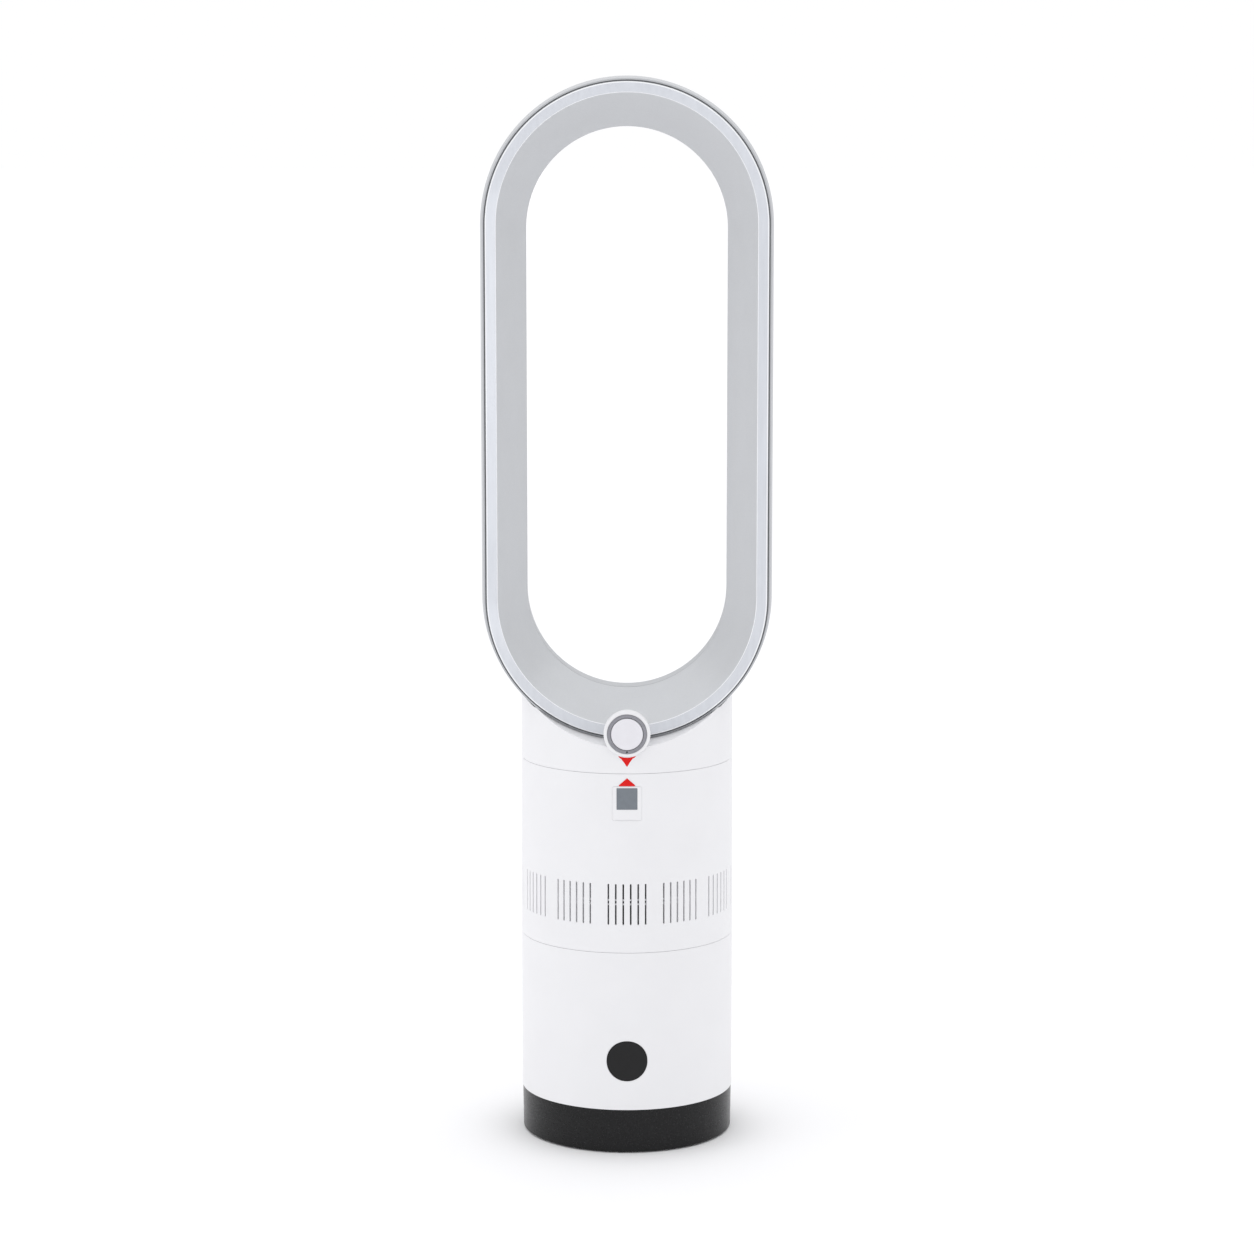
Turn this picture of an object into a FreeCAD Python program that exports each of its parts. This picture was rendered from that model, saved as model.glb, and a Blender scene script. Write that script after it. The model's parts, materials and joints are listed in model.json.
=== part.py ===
import FreeCAD, Part
import math
import os
import re

import Sketcher
from fcgear import fcgear, involute

# A bladeless column fan, in millimetres. +Z is up, the front faces -Y, and the origin is on the
# floor under the middle of the column. A drum-shaped foot carries a turning column, and a tall
# stadium-shaped air loop sits in a cradle on top of it.

SIZES = {
    # The column
    "body_radius": 92,
    "column_draft": 0.5,
    "neck_draft": 0.3,
    "shell_wall": 2.4,
    "foot_height": 38.5,
    "swing_seam": 176.4,
    "lock_seam": 331.5,
    "seam_gap": 0.8,
    "moving_gap": 0.4,
    "running_gap": 0.05,
    "ledge_width": 3.2,
    "ledge_height": 3,
    # The foot
    "foot_wall": 3,
    "foot_floor": 3,
    "foot_inset": 0.4,
    "foot_taper": 0.5,
    "foot_edge": 1,
    "pad_drop": 1,
    "pad_sunk": 1,
    "pad_radius": 9,
    "pad_circle": 66,
    "foot_lip": 8.5,
    "boss_radius": 4,
    "foot_screw_radius": 2,
    "foot_screw_rim": 1.6,
    "deck_screw_radius": 1,
    "neck_screw_radius": 1.3,
    "washer_screw_radius": 1.25,
    "screw_head_rim": 0.9,
    "screw_head_height": 1.8,
    "weight_bore": 24,
    "weight_rim": 76,
    "weight_height": 14,
    # The sensor window, the power board and the mains inlet
    "window_radius": 17.6,
    "window_height": 81.6,
    "window_proud": 0.2,
    "inlet_height": 62,
    "inlet_width": 27,
    "inlet_tall": 19,
    "inlet_flange": 3,
    "inlet_proud": 3.4,
    "inlet_length": 24,
    "recess_width": 15,
    "recess_tall": 8.4,
    "recess_depth": 13,
    "pin_radius": 1.2,
    "pin_pitch": 8.6,
    "pin_sunk": 5,
    "board_thick": 1.6,
    "power_board_height": 26,
    "power_board_width": 92,
    "power_board_depth": 60,
    # The swing drive
    "deck_drop": 13.4,
    "deck_thick": 3,
    "deck_step": 4,
    "spigot_radius": 20,
    "spigot_bore": 15,
    "glide_gap": 1.7,
    "glide_share": 0.4848,
    "plate_drop": 4.4,
    "plate_thick": 3,
    "plate_gap": 1,
    "bush_wall": 4,
    "bush_flange": 4,
    "flange_thick": 2,
    "washer_lift": 0.2,
    "gear_module": 2,
    "ring_teeth": 60,
    "pinion_teeth": 12,
    "gear_rim": 4,
    "gear_height": 7,
    "pinion_shift": -0.1,
    "pinion_lift": 1,
    "shaft_drop": 0.5,
    "shaft_hole_gap": 5,
    "swing_motor_radius": 25,
    "swing_motor_height": 22,
    "swing_shaft_radius": 3,
    # The column's air inlet
    "slit_low": 200.7,
    "slit_high": 236.3,
    "slit_width": 1.8,
    "slit_pitch": 4,
    "slit_count": 6,
    "slit_groups": 12,
    "rib_height": 1.4,
    "rib_depth": 1.4,
    "rib_low": 217.6,
    "rib_rise": 3.6,
    "screen_thick": 1.6,
    # The impeller, its duct and its motor
    "duct_ledge": 241,
    "duct_wall": 2,
    "eye_radius": 50,
    "eye_rise": 5,
    "cone_rise": 35,
    "cone_radius": 66,
    "duct_radius": 70,
    "duct_rise": 43,
    "tip_gap": 1,
    "blade_count": 9,
    "blade_thick": 1.8,
    "blade_sweep": 26,
    "hub_radius": 43,
    "hub_nose": 14,
    "hub_height": 38,
    "motor_shaft_radius": 2.5,
    "bearing_radius": 8,
    "bearing_thick": 5,
    "bucket_radius": 30.5,
    "bucket_wall": 2.5,
    "stator_ring": 6,
    "rotor_radius": 15.8,
    "air_gap": 0.5,
    "stack_height": 16,
    "tooth_count": 6,
    "tooth_width": 5,
    "vane_count": 11,
    "vane_thick": 1.6,
    "vane_height": 24,
    "sleeve_wall": 2,
    # The display
    "panel_width": 25.3,
    "panel_low": 291.1,
    "panel_high": 320.6,
    "glass_width": 17.8,
    "glass_low": 300.6,
    "glass_high": 319.2,
    "panel_proud": 0.15,
    # The twist lock
    "collar_bore": 82.2,
    "channel_radius": 86,
    "channel_height": 6,
    "collar_lip": 5.9,
    "collar_floor": 2.5,
    "lug_reach": 84,
    "lug_half": 14,
    "lug_height": 4.4,
    "lug_count": 4,
    "unlock_turn": 24,
    # The air loop
    "loop_radius": 124,
    "loop_low": 475.6,
    "loop_high": 791.2,
    "loop_front": 54.5,
    "loop_back": 53.4,
    "loop_wall": 2.4,
    "seam_inset": 3.2,
    "seam_strip": 1.2,
    "bevel_width": 8.3,
    "bevel_depth": 3.5,
    "throat_radius": 87,
    "throat_drop": 5.1,
    "throat_front": 12,
    "slot_width": 1.6,
    "lip_wall": 1.6,
    "face_wall": 2,
    "port_half_width": 52,
    "port_half_depth": 27,
    # The neck and its power button
    "cradle_gap": 0.8,
    "cradle_lip": 2,
    "button_height": 366,
    "bezel_radius": 19.8,
    "trim_radius": 16.8,
    "button_radius": 13.5,
    "bezel_proud": 3.4,
    "trim_proud": 3.8,
    "button_proud": 4.2,
    "trim_thick": 2.2,
    "button_thick": 2.5,
    "button_travel": 1.2,
    "pod_radius": 14.2,
    "pod_bore": 11.5,
    "pod_back": 56,
    "pod_floor": 76,
    "stem_radius": 3,
    "spring_radius": 7.5,
    "spring_wire": 0.35,
    "spring_turns": 6,
    "led_radius": 0.9,
}

# Heights and radii that several pieces share, written in terms of the sizes above.
SHELL_BORE = "(body_radius - shell_wall)"
FOOT_OUT = "(body_radius - foot_inset)"
FOOT_TOP_FLOOR = "(pad_drop + foot_floor)"
LIP_OUT = "(body_radius - foot_inset - foot_wall - 0.2)"
LIP_IN = "(body_radius - foot_inset - foot_wall - 0.2 - shell_wall)"
BOSS_CIRCLE = "(body_radius - foot_inset - foot_wall - 0.2 - shell_wall - boss_radius + 0.6)"
DECK_TOP = "(swing_seam - deck_drop)"
DECK_FLANGE = "(swing_seam - deck_drop + deck_step)"
DECK_LEDGE = "(swing_seam - deck_drop + deck_step - deck_thick)"
GEAR_OUT = "(gear_module * ring_teeth / 2 + 1.25 * gear_module + gear_rim)"
RISER_IN = "(gear_module * ring_teeth / 2 + 1.25 * gear_module + gear_rim + plate_gap)"
DECK_SCREW_CIRCLE = "(body_radius - shell_wall - ledge_width / 2 - 0.4)"
GLIDE_OUT = f"({DECK_SCREW_CIRCLE} - deck_screw_radius - screw_head_rim - glide_gap)"
GLIDE_IN = f"({GLIDE_OUT} - glide_share * ({GLIDE_OUT} - {RISER_IN}))"
NECK_SCREW_CIRCLE = "(body_radius - column_draft - shell_wall - 3)"
PLATE_LOW = "(swing_seam - plate_drop)"
PLATE_TOP = "(swing_seam - plate_drop + plate_thick)"
SPIGOT_TOP = "(swing_seam - plate_drop + plate_thick + flange_thick + washer_lift)"
PLATE_RIM = "(swing_seam + seam_gap / 2 + 0.6)"
RIM_TOP = "(swing_seam + seam_gap / 2 + 6.2)"
HOUSING_LOW = "(swing_seam + seam_gap / 2)"
HOUSING_TOP = "(lock_seam - seam_gap / 2)"
SEAT = "(lock_seam + seam_gap / 2)"
LEDGE_IN = "(body_radius - shell_wall - ledge_width)"
GEAR_DISTANCE = "(gear_module * (ring_teeth - pinion_teeth) / 2)"
COLLAR_LOW = "(lock_seam + seam_gap / 2 - collar_lip - channel_height - collar_floor)"
HUB_TOP = "(duct_ledge + eye_rise + hub_height)"
BUCKET_LOW = "(duct_ledge + eye_rise + hub_height + 2)"
STACK_LOW = "(duct_ledge + eye_rise + hub_height + 9)"
BUCKET_TOP = "(duct_ledge + eye_rise + hub_height + 9 + stack_height + 3)"
STATOR_OUT = "(bucket_radius - bucket_wall)"
NECK_OUT = "(body_radius - column_draft)"
NECK_TOP_OUT = "(body_radius - column_draft - neck_draft)"
NECK_BORE = "(body_radius - column_draft - shell_wall)"
NECK_REACH = "(lock_seam + 70)"
FACE = "(body_radius - column_draft - neck_draft)"

doc = FreeCAD.newDocument("ColumnFan")
sheet = doc.addObject("Spreadsheet::Sheet", "Sizes")
for row, (alias, number) in enumerate(SIZES.items(), start=1):
    sheet.set(f"A{row}", alias)
    sheet.set(f"B{row}", str(number))
    sheet.setAlias(f"B{row}", alias)
doc.recompute()

NODES = []


# ---------------------------------------------------------------- helpers

def linked(text):
    """The expression, with each size's name pointed at its cell."""
    return re.sub(r"[A-Za-z_]\w*", lambda m: f"Sizes.{m[0]}" if m[0] in SIZES else m[0], str(text))


def value(text):
    """The number that an expression gives now."""
    found = sheet.evalExpression(linked(text))
    return float(getattr(found, "Value", found))


def node(item, name):
    """Name a finished sub-part, so that it is checked and written."""
    item.Label = name
    NODES.append(item)
    return item


def new_body(name):
    body = doc.addObject("PartDesign::Body", name)
    body.AllowCompound = True
    return node(body, name)


def origin_item(body, role):
    return [item for item in body.Origin.OriginFeatures if item.Role == role][0]


def new_sketch(body, name, role, offset="0", turn="0"):
    """A sketch on one of the body's own planes, pushed along the plane's normal and turned about Z."""
    sketch = body.newObject("Sketcher::SketchObject", name)
    sketch.AttachmentSupport = (origin_item(body, role), [""])
    sketch.MapMode = "FlatFace"
    spin = FreeCAD.Vector(0, 0, 1) if role == "XY_Plane" else FreeCAD.Vector(0, 1, 0)
    sketch.AttachmentOffset = FreeCAD.Placement(
        FreeCAD.Vector(0, 0, value(offset)), FreeCAD.Rotation(spin, value(turn)))
    if turn != "0":
        sketch.setExpression("AttachmentOffset.Rotation.Angle", linked(turn))
    if turn != "0" and role != "XY_Plane":
        sketch.setExpression("AttachmentOffset.Base.x", linked(f"({offset}) * sin({turn})"))
        sketch.setExpression("AttachmentOffset.Base.z", linked(f"({offset}) * cos({turn})"))
    elif offset != "0":
        sketch.setExpression("AttachmentOffset.Base.z", linked(offset))
    return sketch


def bind(sketch, constraint, text):
    index = sketch.addConstraint(Sketcher.Constraint(*constraint, value(text)))
    sketch.setExpression(f"Constraints[{index}]", linked(text))


def place_point(sketch, element, end, x, y):
    """Tie one point of a sketch to its two coordinates."""
    for kind, axis, text in (("DistanceX", -2, x), ("DistanceY", -1, y)):
        if str(text) == "0":
            sketch.addConstraint(Sketcher.Constraint("PointOnObject", element, end, axis))
        else:
            bind(sketch, (kind, -1, 1, element, end), text)


def outline(sketch, points):
    """A closed outline of straight lines through points given as pairs of expressions."""
    corners = [FreeCAD.Vector(value(x), value(y), 0) for x, y in points]
    count = len(points)
    first = sketch.GeometryCount
    for i in range(count):
        sketch.addGeometry(Part.LineSegment(corners[i], corners[(i + 1) % count]), False)
    for i, (x, y) in enumerate(points):
        following = first + (i + 1) % count
        sketch.addConstraint(Sketcher.Constraint("Coincident", first + i, 2, following, 1))
        place_point(sketch, first + i, 1, x, y)
    return sketch


def rectangle(sketch, x_low, x_high, y_low, y_high):
    return outline(sketch, [(x_low, y_low), (x_high, y_low), (x_high, y_high), (x_low, y_high)])


def circle(sketch, radius, x="0", y="0"):
    element = sketch.GeometryCount
    centre = FreeCAD.Vector(value(x), value(y), 0)
    sketch.addGeometry(Part.Circle(centre, FreeCAD.Vector(0, 0, 1), value(radius)), False)
    place_point(sketch, element, 3, x, y)
    bind(sketch, ("Radius", element), radius)
    return sketch


def stadium(sketch, half_width, low, high):
    """An upright stadium: two half circles about the heights low and high, and two straight sides."""
    wide, bottom, top = value(half_width), value(low), value(high)
    up = FreeCAD.Vector(0, 0, 1)
    half_turn = math.pi
    sides = [FreeCAD.Vector(wide, bottom, 0), FreeCAD.Vector(wide, top, 0),
             FreeCAD.Vector(-wide, top, 0), FreeCAD.Vector(-wide, bottom, 0)]
    upper = Part.Circle(FreeCAD.Vector(0, top, 0), up, wide)
    lower = Part.Circle(FreeCAD.Vector(0, bottom, 0), up, wide)
    sketch.addGeometry(Part.LineSegment(sides[0], sides[1]), False)
    sketch.addGeometry(Part.ArcOfCircle(upper, 0, half_turn), False)
    sketch.addGeometry(Part.LineSegment(sides[2], sides[3]), False)
    sketch.addGeometry(Part.ArcOfCircle(lower, half_turn, 2 * half_turn), False)
    for first, second in ((0, 1), (1, 2), (2, 3), (3, 0)):
        sketch.addConstraint(Sketcher.Constraint("Tangent", first, 2, second, 1))
    sketch.addConstraint(Sketcher.Constraint("Vertical", 0))
    place_point(sketch, 1, 3, "0", high)
    place_point(sketch, 3, 3, "0", low)
    bind(sketch, ("Radius", 1), half_width)
    return sketch


def revolve(body, name, points, cut=False):
    """Turn an outline of (radius, height) points about the Z axis."""
    sketch = outline(new_sketch(body, f"{name}_outline", "XZ_Plane"), points)
    feature = body.newObject("PartDesign::Groove" if cut else "PartDesign::Revolution", name)
    feature.Profile = sketch
    feature.ReferenceAxis = (sketch, ["V_Axis"])
    feature.Angle = 360
    return feature


def extrude(body, name, sketch, length, cut=False, flip=False):
    """Pad a sketch along its normal, or pocket it against the normal; flip turns that round."""
    feature = body.newObject("PartDesign::Pocket" if cut else "PartDesign::Pad", name)
    feature.Profile = sketch
    feature.setExpression("Length", linked(length))
    feature.Reversed = flip
    return feature


def around(body, name, features, count, span="360"):
    """Repeat features about the Z axis."""
    pattern = body.newObject("PartDesign::PolarPattern", name)
    pattern.Originals = features
    pattern.Axis = (origin_item(body, "Z_Axis"), [""])
    pattern.setExpression("Angle", linked(span))
    pattern.setExpression("Occurrences", linked(count))
    body.Tip = pattern
    return pattern


def loft(body, name, sections, cut=False):
    """Join stadiums given as (y, half width, low, high); y runs from the front to the back."""
    sketches = []
    for index, (depth, half_width, low, high) in enumerate(sections):
        sketch = new_sketch(body, f"{name}_{index}", "XZ_Plane", f"-({depth})")
        sketches.append(stadium(sketch, half_width, low, high))
    feature = body.newObject("PartDesign::SubtractiveLoft" if cut else "PartDesign::AdditiveLoft", name)
    feature.Profile = sketches[0]
    feature.Sections = sketches[1:]
    feature.Ruled = True
    return feature


def rod(name, radius, length, at=("0", "0", "0"), along="Z"):
    """A Part cylinder from a point, along +Z or along -Y."""
    item = doc.addObject("Part::Cylinder", name)
    item.setExpression("Radius", linked(radius))
    item.setExpression("Height", linked(length))
    turn = FreeCAD.Rotation() if along == "Z" else FreeCAD.Rotation(FreeCAD.Vector(1, 0, 0), 90)
    item.Placement = FreeCAD.Placement(FreeCAD.Vector(), turn)
    for axis, text in zip("xyz", at):
        item.setExpression(f"Placement.Base.{axis}", linked(text))
    return item


def block(name, size, at):
    """A Part box of a size, from its lowest corner."""
    item = doc.addObject("Part::Box", name)
    for prop, text in zip(("Length", "Width", "Height"), size):
        item.setExpression(prop, linked(text))
    for axis, text in zip("xyz", at):
        item.setExpression(f"Placement.Base.{axis}", linked(text))
    return item


def cut(name, base, tool):
    item = doc.addObject("Part::Cut", name)
    item.Base = base
    item.Tool = tool
    return item


def fuse(name, parts):
    item = doc.addObject("Part::MultiFuse", name)
    item.Shapes = parts
    return item


def common(name, parts):
    item = doc.addObject("Part::MultiCommon", name)
    item.Shapes = parts
    return item


def screw_holes(body, name, low, radius, ring, depth, count, turn="0"):
    """A ring of upright holes through a body, from a height up."""
    sketch = circle(new_sketch(body, f"{name}_hole", "XY_Plane", low), radius,
                    f"({ring}) * cos({turn})", f"({ring}) * sin({turn})")
    around(body, f"{name}_holes", [extrude(body, f"{name}_hole_cut", sketch, depth, cut=True, flip=True)],
           count)


def screws(name, count, ring, head_low, shank_radius, shank_low, turn="0",
           rim="screw_head_rim", height="screw_head_height"):
    """A ring of upright screws: each a head and a shank below or above it, as one solid."""
    body = new_body(name)
    x = f"({ring}) * cos({turn})"
    y = f"({ring}) * sin({turn})"
    head = circle(new_sketch(body, f"{name}_head", "XY_Plane", head_low), f"{shank_radius} + {rim}", x, y)
    head_pad = extrude(body, f"{name}_head_pad", head, height)
    shank = circle(new_sketch(body, f"{name}_shank", "XY_Plane", shank_low), shank_radius, x, y)
    up = value(shank_low) < value(head_low)
    length = f"({head_low}) - ({shank_low})" if up else f"({shank_low}) - ({head_low})"
    shank_pad = extrude(body, f"{name}_shank_pad", shank, length, flip=not up)
    around(body, f"{name}_ring", [head_pad, shank_pad], count)
    return body


# ---------------------------------------------------------------- the foot

def foot_ring():
    """The black drum-shaped foot: a shallow cup with sunk places for its pads."""
    body = new_body("foot_ring")
    revolve(body, "foot_cup", [
        ("0", "pad_drop"),
        (f"{FOOT_OUT} - foot_taper - foot_edge", "pad_drop"),
        (f"{FOOT_OUT} - foot_taper", "pad_drop + foot_edge"),
        (FOOT_OUT, "foot_height"),
        (f"{FOOT_OUT} - foot_wall", "foot_height"),
        (f"{FOOT_OUT} - foot_wall", FOOT_TOP_FLOOR),
        ("0", FOOT_TOP_FLOOR)])
    seat = new_sketch(body, "pad_seat", "XY_Plane", "pad_drop")
    circle(seat, "pad_radius", "pad_circle * cos(45)", "pad_circle * sin(45)")
    around(body, "pad_seats", [extrude(body, "pad_seat_cut", seat, "pad_sunk", cut=True, flip=True)], "4")
    screw_holes(body, "foot_screw", "pad_drop", "foot_screw_radius + 0.2", BOSS_CIRCLE, "foot_floor", "4")
    screw_holes(body, "foot_screw_head", "pad_drop", "foot_screw_radius + foot_screw_rim + 0.2", BOSS_CIRCLE,
                "foot_floor - 1", "4")


def foot_pads():
    """Four rubber pads, sunk into the foot and standing a little proud of it."""
    body = new_body("foot_pads")
    sketch = new_sketch(body, "pad_disc", "XY_Plane")
    circle(sketch, "pad_radius", "pad_circle * cos(45)", "pad_circle * sin(45)")
    around(body, "pads", [extrude(body, "pad", sketch, "pad_drop + pad_sunk")], "4")


def base_weight():
    """A cast-iron ring that keeps the tall fan upright."""
    body = new_body("base_weight")
    revolve(body, "weight", [
        ("weight_bore", FOOT_TOP_FLOOR),
        ("weight_rim", FOOT_TOP_FLOOR),
        ("weight_rim", f"{FOOT_TOP_FLOOR} + weight_height - 1"),
        ("weight_rim - 1", f"{FOOT_TOP_FLOOR} + weight_height"),
        ("weight_bore", f"{FOOT_TOP_FLOOR} + weight_height")])


def base_housing():
    """The white lower shell, with a lip inside the foot, screw bosses and a ledge for the deck."""
    body = new_body("base_housing")
    revolve(body, "base_shell", [
        ("body_radius", "foot_height"),
        ("body_radius", "swing_seam - seam_gap / 2"),
        (SHELL_BORE, "swing_seam - seam_gap / 2"),
        (SHELL_BORE, DECK_LEDGE),
        (LEDGE_IN, DECK_LEDGE),
        (LEDGE_IN, f"{DECK_LEDGE} - ledge_height / 2"),
        (SHELL_BORE, f"{DECK_LEDGE} - ledge_height / 2 - ledge_width"),
        (SHELL_BORE, "foot_height + ledge_height"),
        (LIP_IN, "foot_height + ledge_height"),
        (LIP_IN, "foot_height - foot_lip"),
        (LIP_OUT, "foot_height - foot_lip"),
        (LIP_OUT, "foot_height")])
    boss = circle(new_sketch(body, "boss_disc", "XY_Plane", FOOT_TOP_FLOOR), "boss_radius", BOSS_CIRCLE)
    boss_pad = extrude(body, "boss", boss, f"foot_height + ledge_height - {FOOT_TOP_FLOOR}")
    around(body, "bosses", [boss_pad], "4")
    screw_holes(body, "boss_screw", FOOT_TOP_FLOOR, "foot_screw_radius", BOSS_CIRCLE, "20", "4")
    screw_holes(body, "ledge_screw", f"{DECK_LEDGE} - 2", "deck_screw_radius", DECK_SCREW_CIRCLE, "2", "6",
                "30")
    eye = circle(new_sketch(body, "window_hole", "XZ_Plane"), "window_radius", "0", "window_height")
    extrude(body, "window_cut", eye, "body_radius + 5", cut=True, flip=True)
    gap = new_sketch(body, "inlet_hole", "XZ_Plane")
    rectangle(gap, "-inlet_width / 2", "inlet_width / 2",
              "inlet_height - inlet_tall / 2", "inlet_height + inlet_tall / 2")
    extrude(body, "inlet_cut", gap, "body_radius + 5", cut=True)


def foot_screws():
    """Four screws up through the foot into the shell's bosses."""
    screws("foot_screws", "4", BOSS_CIRCLE, "pad_drop + 0.4", "foot_screw_radius", "pad_drop + 20",
           rim="foot_screw_rim", height="foot_floor - 1.4")


def sensor_window():
    """The dark infrared window, which follows the shell's curve."""
    skin = doc.addObject("PartDesign::Body", "window_skin")
    revolve(skin, "window_ring", [
        (SHELL_BORE, "window_height - window_radius - 4"),
        ("body_radius + window_proud", "window_height - window_radius - 4"),
        ("body_radius + window_proud", "window_height + window_radius + 4"),
        (SHELL_BORE, "window_height + window_radius + 4")])
    plug = rod("window_plug", "window_radius", "body_radius + 10", ("0", "0", "window_height"), "front")
    node(common("window", [skin, plug]), "sensor_window")


def receiver_board():
    """The small board that holds the remote control's receiver behind the window."""
    board = block("receiver_card", ("24", "board_thick", "20"),
                  ("-12", f"-{SHELL_BORE} + 6", "window_height - 10"))
    eye = rod("receiver_eye", "2.6", "4", ("0", f"-{SHELL_BORE} + 6", "window_height"), "front")
    node(fuse("receiver", [board, eye]), "receiver_board")
    bore = rod("receiver_bore", SHELL_BORE, "20", ("0", "0", "window_height - 10"))
    posts = [rod(f"receiver_post_{i}", "2", "10", (f"{side} * 9", f"-{SHELL_BORE} + 6", "window_height"),
                 "front") for i, side in enumerate((-1, 1))]
    node(common("receiver_stand", [fuse("receiver_posts_pair", posts), bore]), "receiver_posts")


def power_board():
    """The main board on its stand-offs, with its tall components."""
    board = block("power_card", ("power_board_width", "power_board_depth", "board_thick"),
                  ("-power_board_width / 2", "-power_board_depth / 2", "power_board_height"))
    node(board, "power_board")
    posts = []
    for index, (sx, sy) in enumerate(((-1, -1), (1, -1), (1, 1), (-1, 1))):
        at = (f"{sx} * (power_board_width / 2 - 6)", f"{sy} * (power_board_depth / 2 - 6)",
              f"{FOOT_TOP_FLOOR} + weight_height")
        posts.append(rod(f"stand_off_{index}", "3", f"power_board_height - ({at[2]})", at))
    node(fuse("stand_offs", posts), "board_stand_offs")
    top = "power_board_height + board_thick"
    transformer = block("transformer", ("26", "22", "24"), ("-34", "-18", top))
    sink = block("heat_sink", ("4", "40", "28"), ("2", "-20", top))
    cans = [rod(f"capacitor_{i}", "6", "20", (f"20 + {i % 2} * 14", f"-12 + {i // 2} * 20", top))
            for i in range(3)]
    choke = rod("choke", "8", "12", ("-24", "16", top))
    node(fuse("tall_parts", [transformer, sink, choke] + cans), "board_components")


def inlet_socket():
    """The two-pin mains inlet at the back: a flanged block with a recess that holds both pins."""
    back = "body_radius - 4"
    neck = block("inlet_neck", ("inlet_width", "inlet_length", "inlet_tall"),
                 ("-inlet_width / 2", "body_radius + inlet_proud - inlet_length",
                  "inlet_height - inlet_tall / 2"))
    flange = block("inlet_lip", ("inlet_width + 2 * inlet_flange", "inlet_proud + 4",
                                 "inlet_tall + 2 * inlet_flange"),
                   ("-inlet_width / 2 - inlet_flange", back, "inlet_height - inlet_tall / 2 - inlet_flange"))
    column = rod("inlet_column", "body_radius", "inlet_tall + 20", ("0", "0", "inlet_height - 20"))
    lip = cut("inlet_flange_lip", flange, column)
    recess = block("inlet_recess", ("recess_width", "recess_depth", "recess_tall"),
                   ("-recess_width / 2", "body_radius + inlet_proud - recess_depth",
                    "inlet_height - recess_tall / 2"))
    node(cut("inlet", fuse("inlet_blank", [neck, lip]), recess), "inlet_socket")
    pins = [rod(f"inlet_pin_{i}", "pin_radius", "recess_depth - pin_sunk",
                (f"{side} * pin_pitch / 2", "body_radius + inlet_proud - pin_sunk", "inlet_height"))
            for i, side in enumerate((-1, 1))]
    for pin in pins:
        pin.Placement = FreeCAD.Placement(pin.Placement.Base, FreeCAD.Rotation(FreeCAD.Vector(1, 0, 0), -90))
        pin.setExpression("Placement.Base.y", linked("body_radius + inlet_proud - recess_depth"))
    node(fuse("pin_pair", pins), "inlet_pins")


# ---------------------------------------------------------------- the swing drive

def deck():
    """The fixed deck inside the lower shell, with a hollow spigot that the column turns on."""
    body = new_body("deck")
    revolve(body, "deck_disc", [
        ("spigot_bore", f"{DECK_TOP} - deck_thick"),
        (f"{RISER_IN} + deck_thick", f"{DECK_TOP} - deck_thick"),
        (f"{RISER_IN} + deck_thick", DECK_LEDGE),
        (f"{SHELL_BORE} - 0.2", DECK_LEDGE),
        (f"{SHELL_BORE} - 0.2", DECK_FLANGE),
        (RISER_IN, DECK_FLANGE),
        (RISER_IN, DECK_TOP),
        ("spigot_radius + 3", DECK_TOP),
        ("spigot_radius", f"{DECK_TOP} + 3"),
        ("spigot_radius", SPIGOT_TOP),
        ("spigot_bore", SPIGOT_TOP)])
    hole = circle(new_sketch(body, "shaft_hole", "XY_Plane", f"{DECK_TOP} - deck_thick"),
                  "swing_shaft_radius + shaft_hole_gap", "0", GEAR_DISTANCE)
    extrude(body, "shaft_cut", hole, "deck_thick", cut=True, flip=True)
    screw_holes(body, "deck_screw", DECK_LEDGE, "deck_screw_radius", DECK_SCREW_CIRCLE, "deck_thick", "6",
                "30")
    pilot = circle(new_sketch(body, "washer_pilot", "XY_Plane", f"{SPIGOT_TOP} - 10"),
                   "washer_screw_radius", "(spigot_radius + spigot_bore) / 2")
    around(body, "washer_pilots", [extrude(body, "washer_pilot_cut", pilot, "10", cut=True, flip=True)], "3")


def deck_screws():
    """Screws that hold the deck down on the shell's ledge."""
    screws("deck_screws", "6", DECK_SCREW_CIRCLE, DECK_FLANGE, "deck_screw_radius", f"{DECK_LEDGE} - 2", "30")


def glide_ring():
    """The low-friction ring on the deck's flange; it covers a share of the flange inside the screws."""
    body = new_body("glide_ring")
    revolve(body, "glide", [
        (GLIDE_IN, DECK_FLANGE),
        (GLIDE_OUT, DECK_FLANGE),
        (GLIDE_OUT, PLATE_LOW),
        (GLIDE_IN, PLATE_LOW)])


def retaining_washer():
    """The washer on the spigot that keeps the column from lifting."""
    body = new_body("retaining_washer")
    revolve(body, "washer", [
        ("spigot_bore", SPIGOT_TOP),
        ("spigot_radius + bush_wall + 2", SPIGOT_TOP),
        ("spigot_radius + bush_wall + 2", f"{SPIGOT_TOP} + flange_thick"),
        ("spigot_bore", f"{SPIGOT_TOP} + flange_thick")])
    hole = circle(new_sketch(body, "washer_hole", "XY_Plane", SPIGOT_TOP),
                  "washer_screw_radius", "(spigot_radius + spigot_bore) / 2")
    hole_cut = extrude(body, "washer_hole_cut", hole, "flange_thick", cut=True, flip=True)
    around(body, "washer_holes", [hole_cut], "3")


def washer_screws():
    """Screws that hold the washer on the spigot."""
    screws("washer_screws", "3", "(spigot_radius + spigot_bore) / 2", f"{SPIGOT_TOP} + flange_thick",
           "washer_screw_radius", f"{SPIGOT_TOP} - 8")


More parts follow.
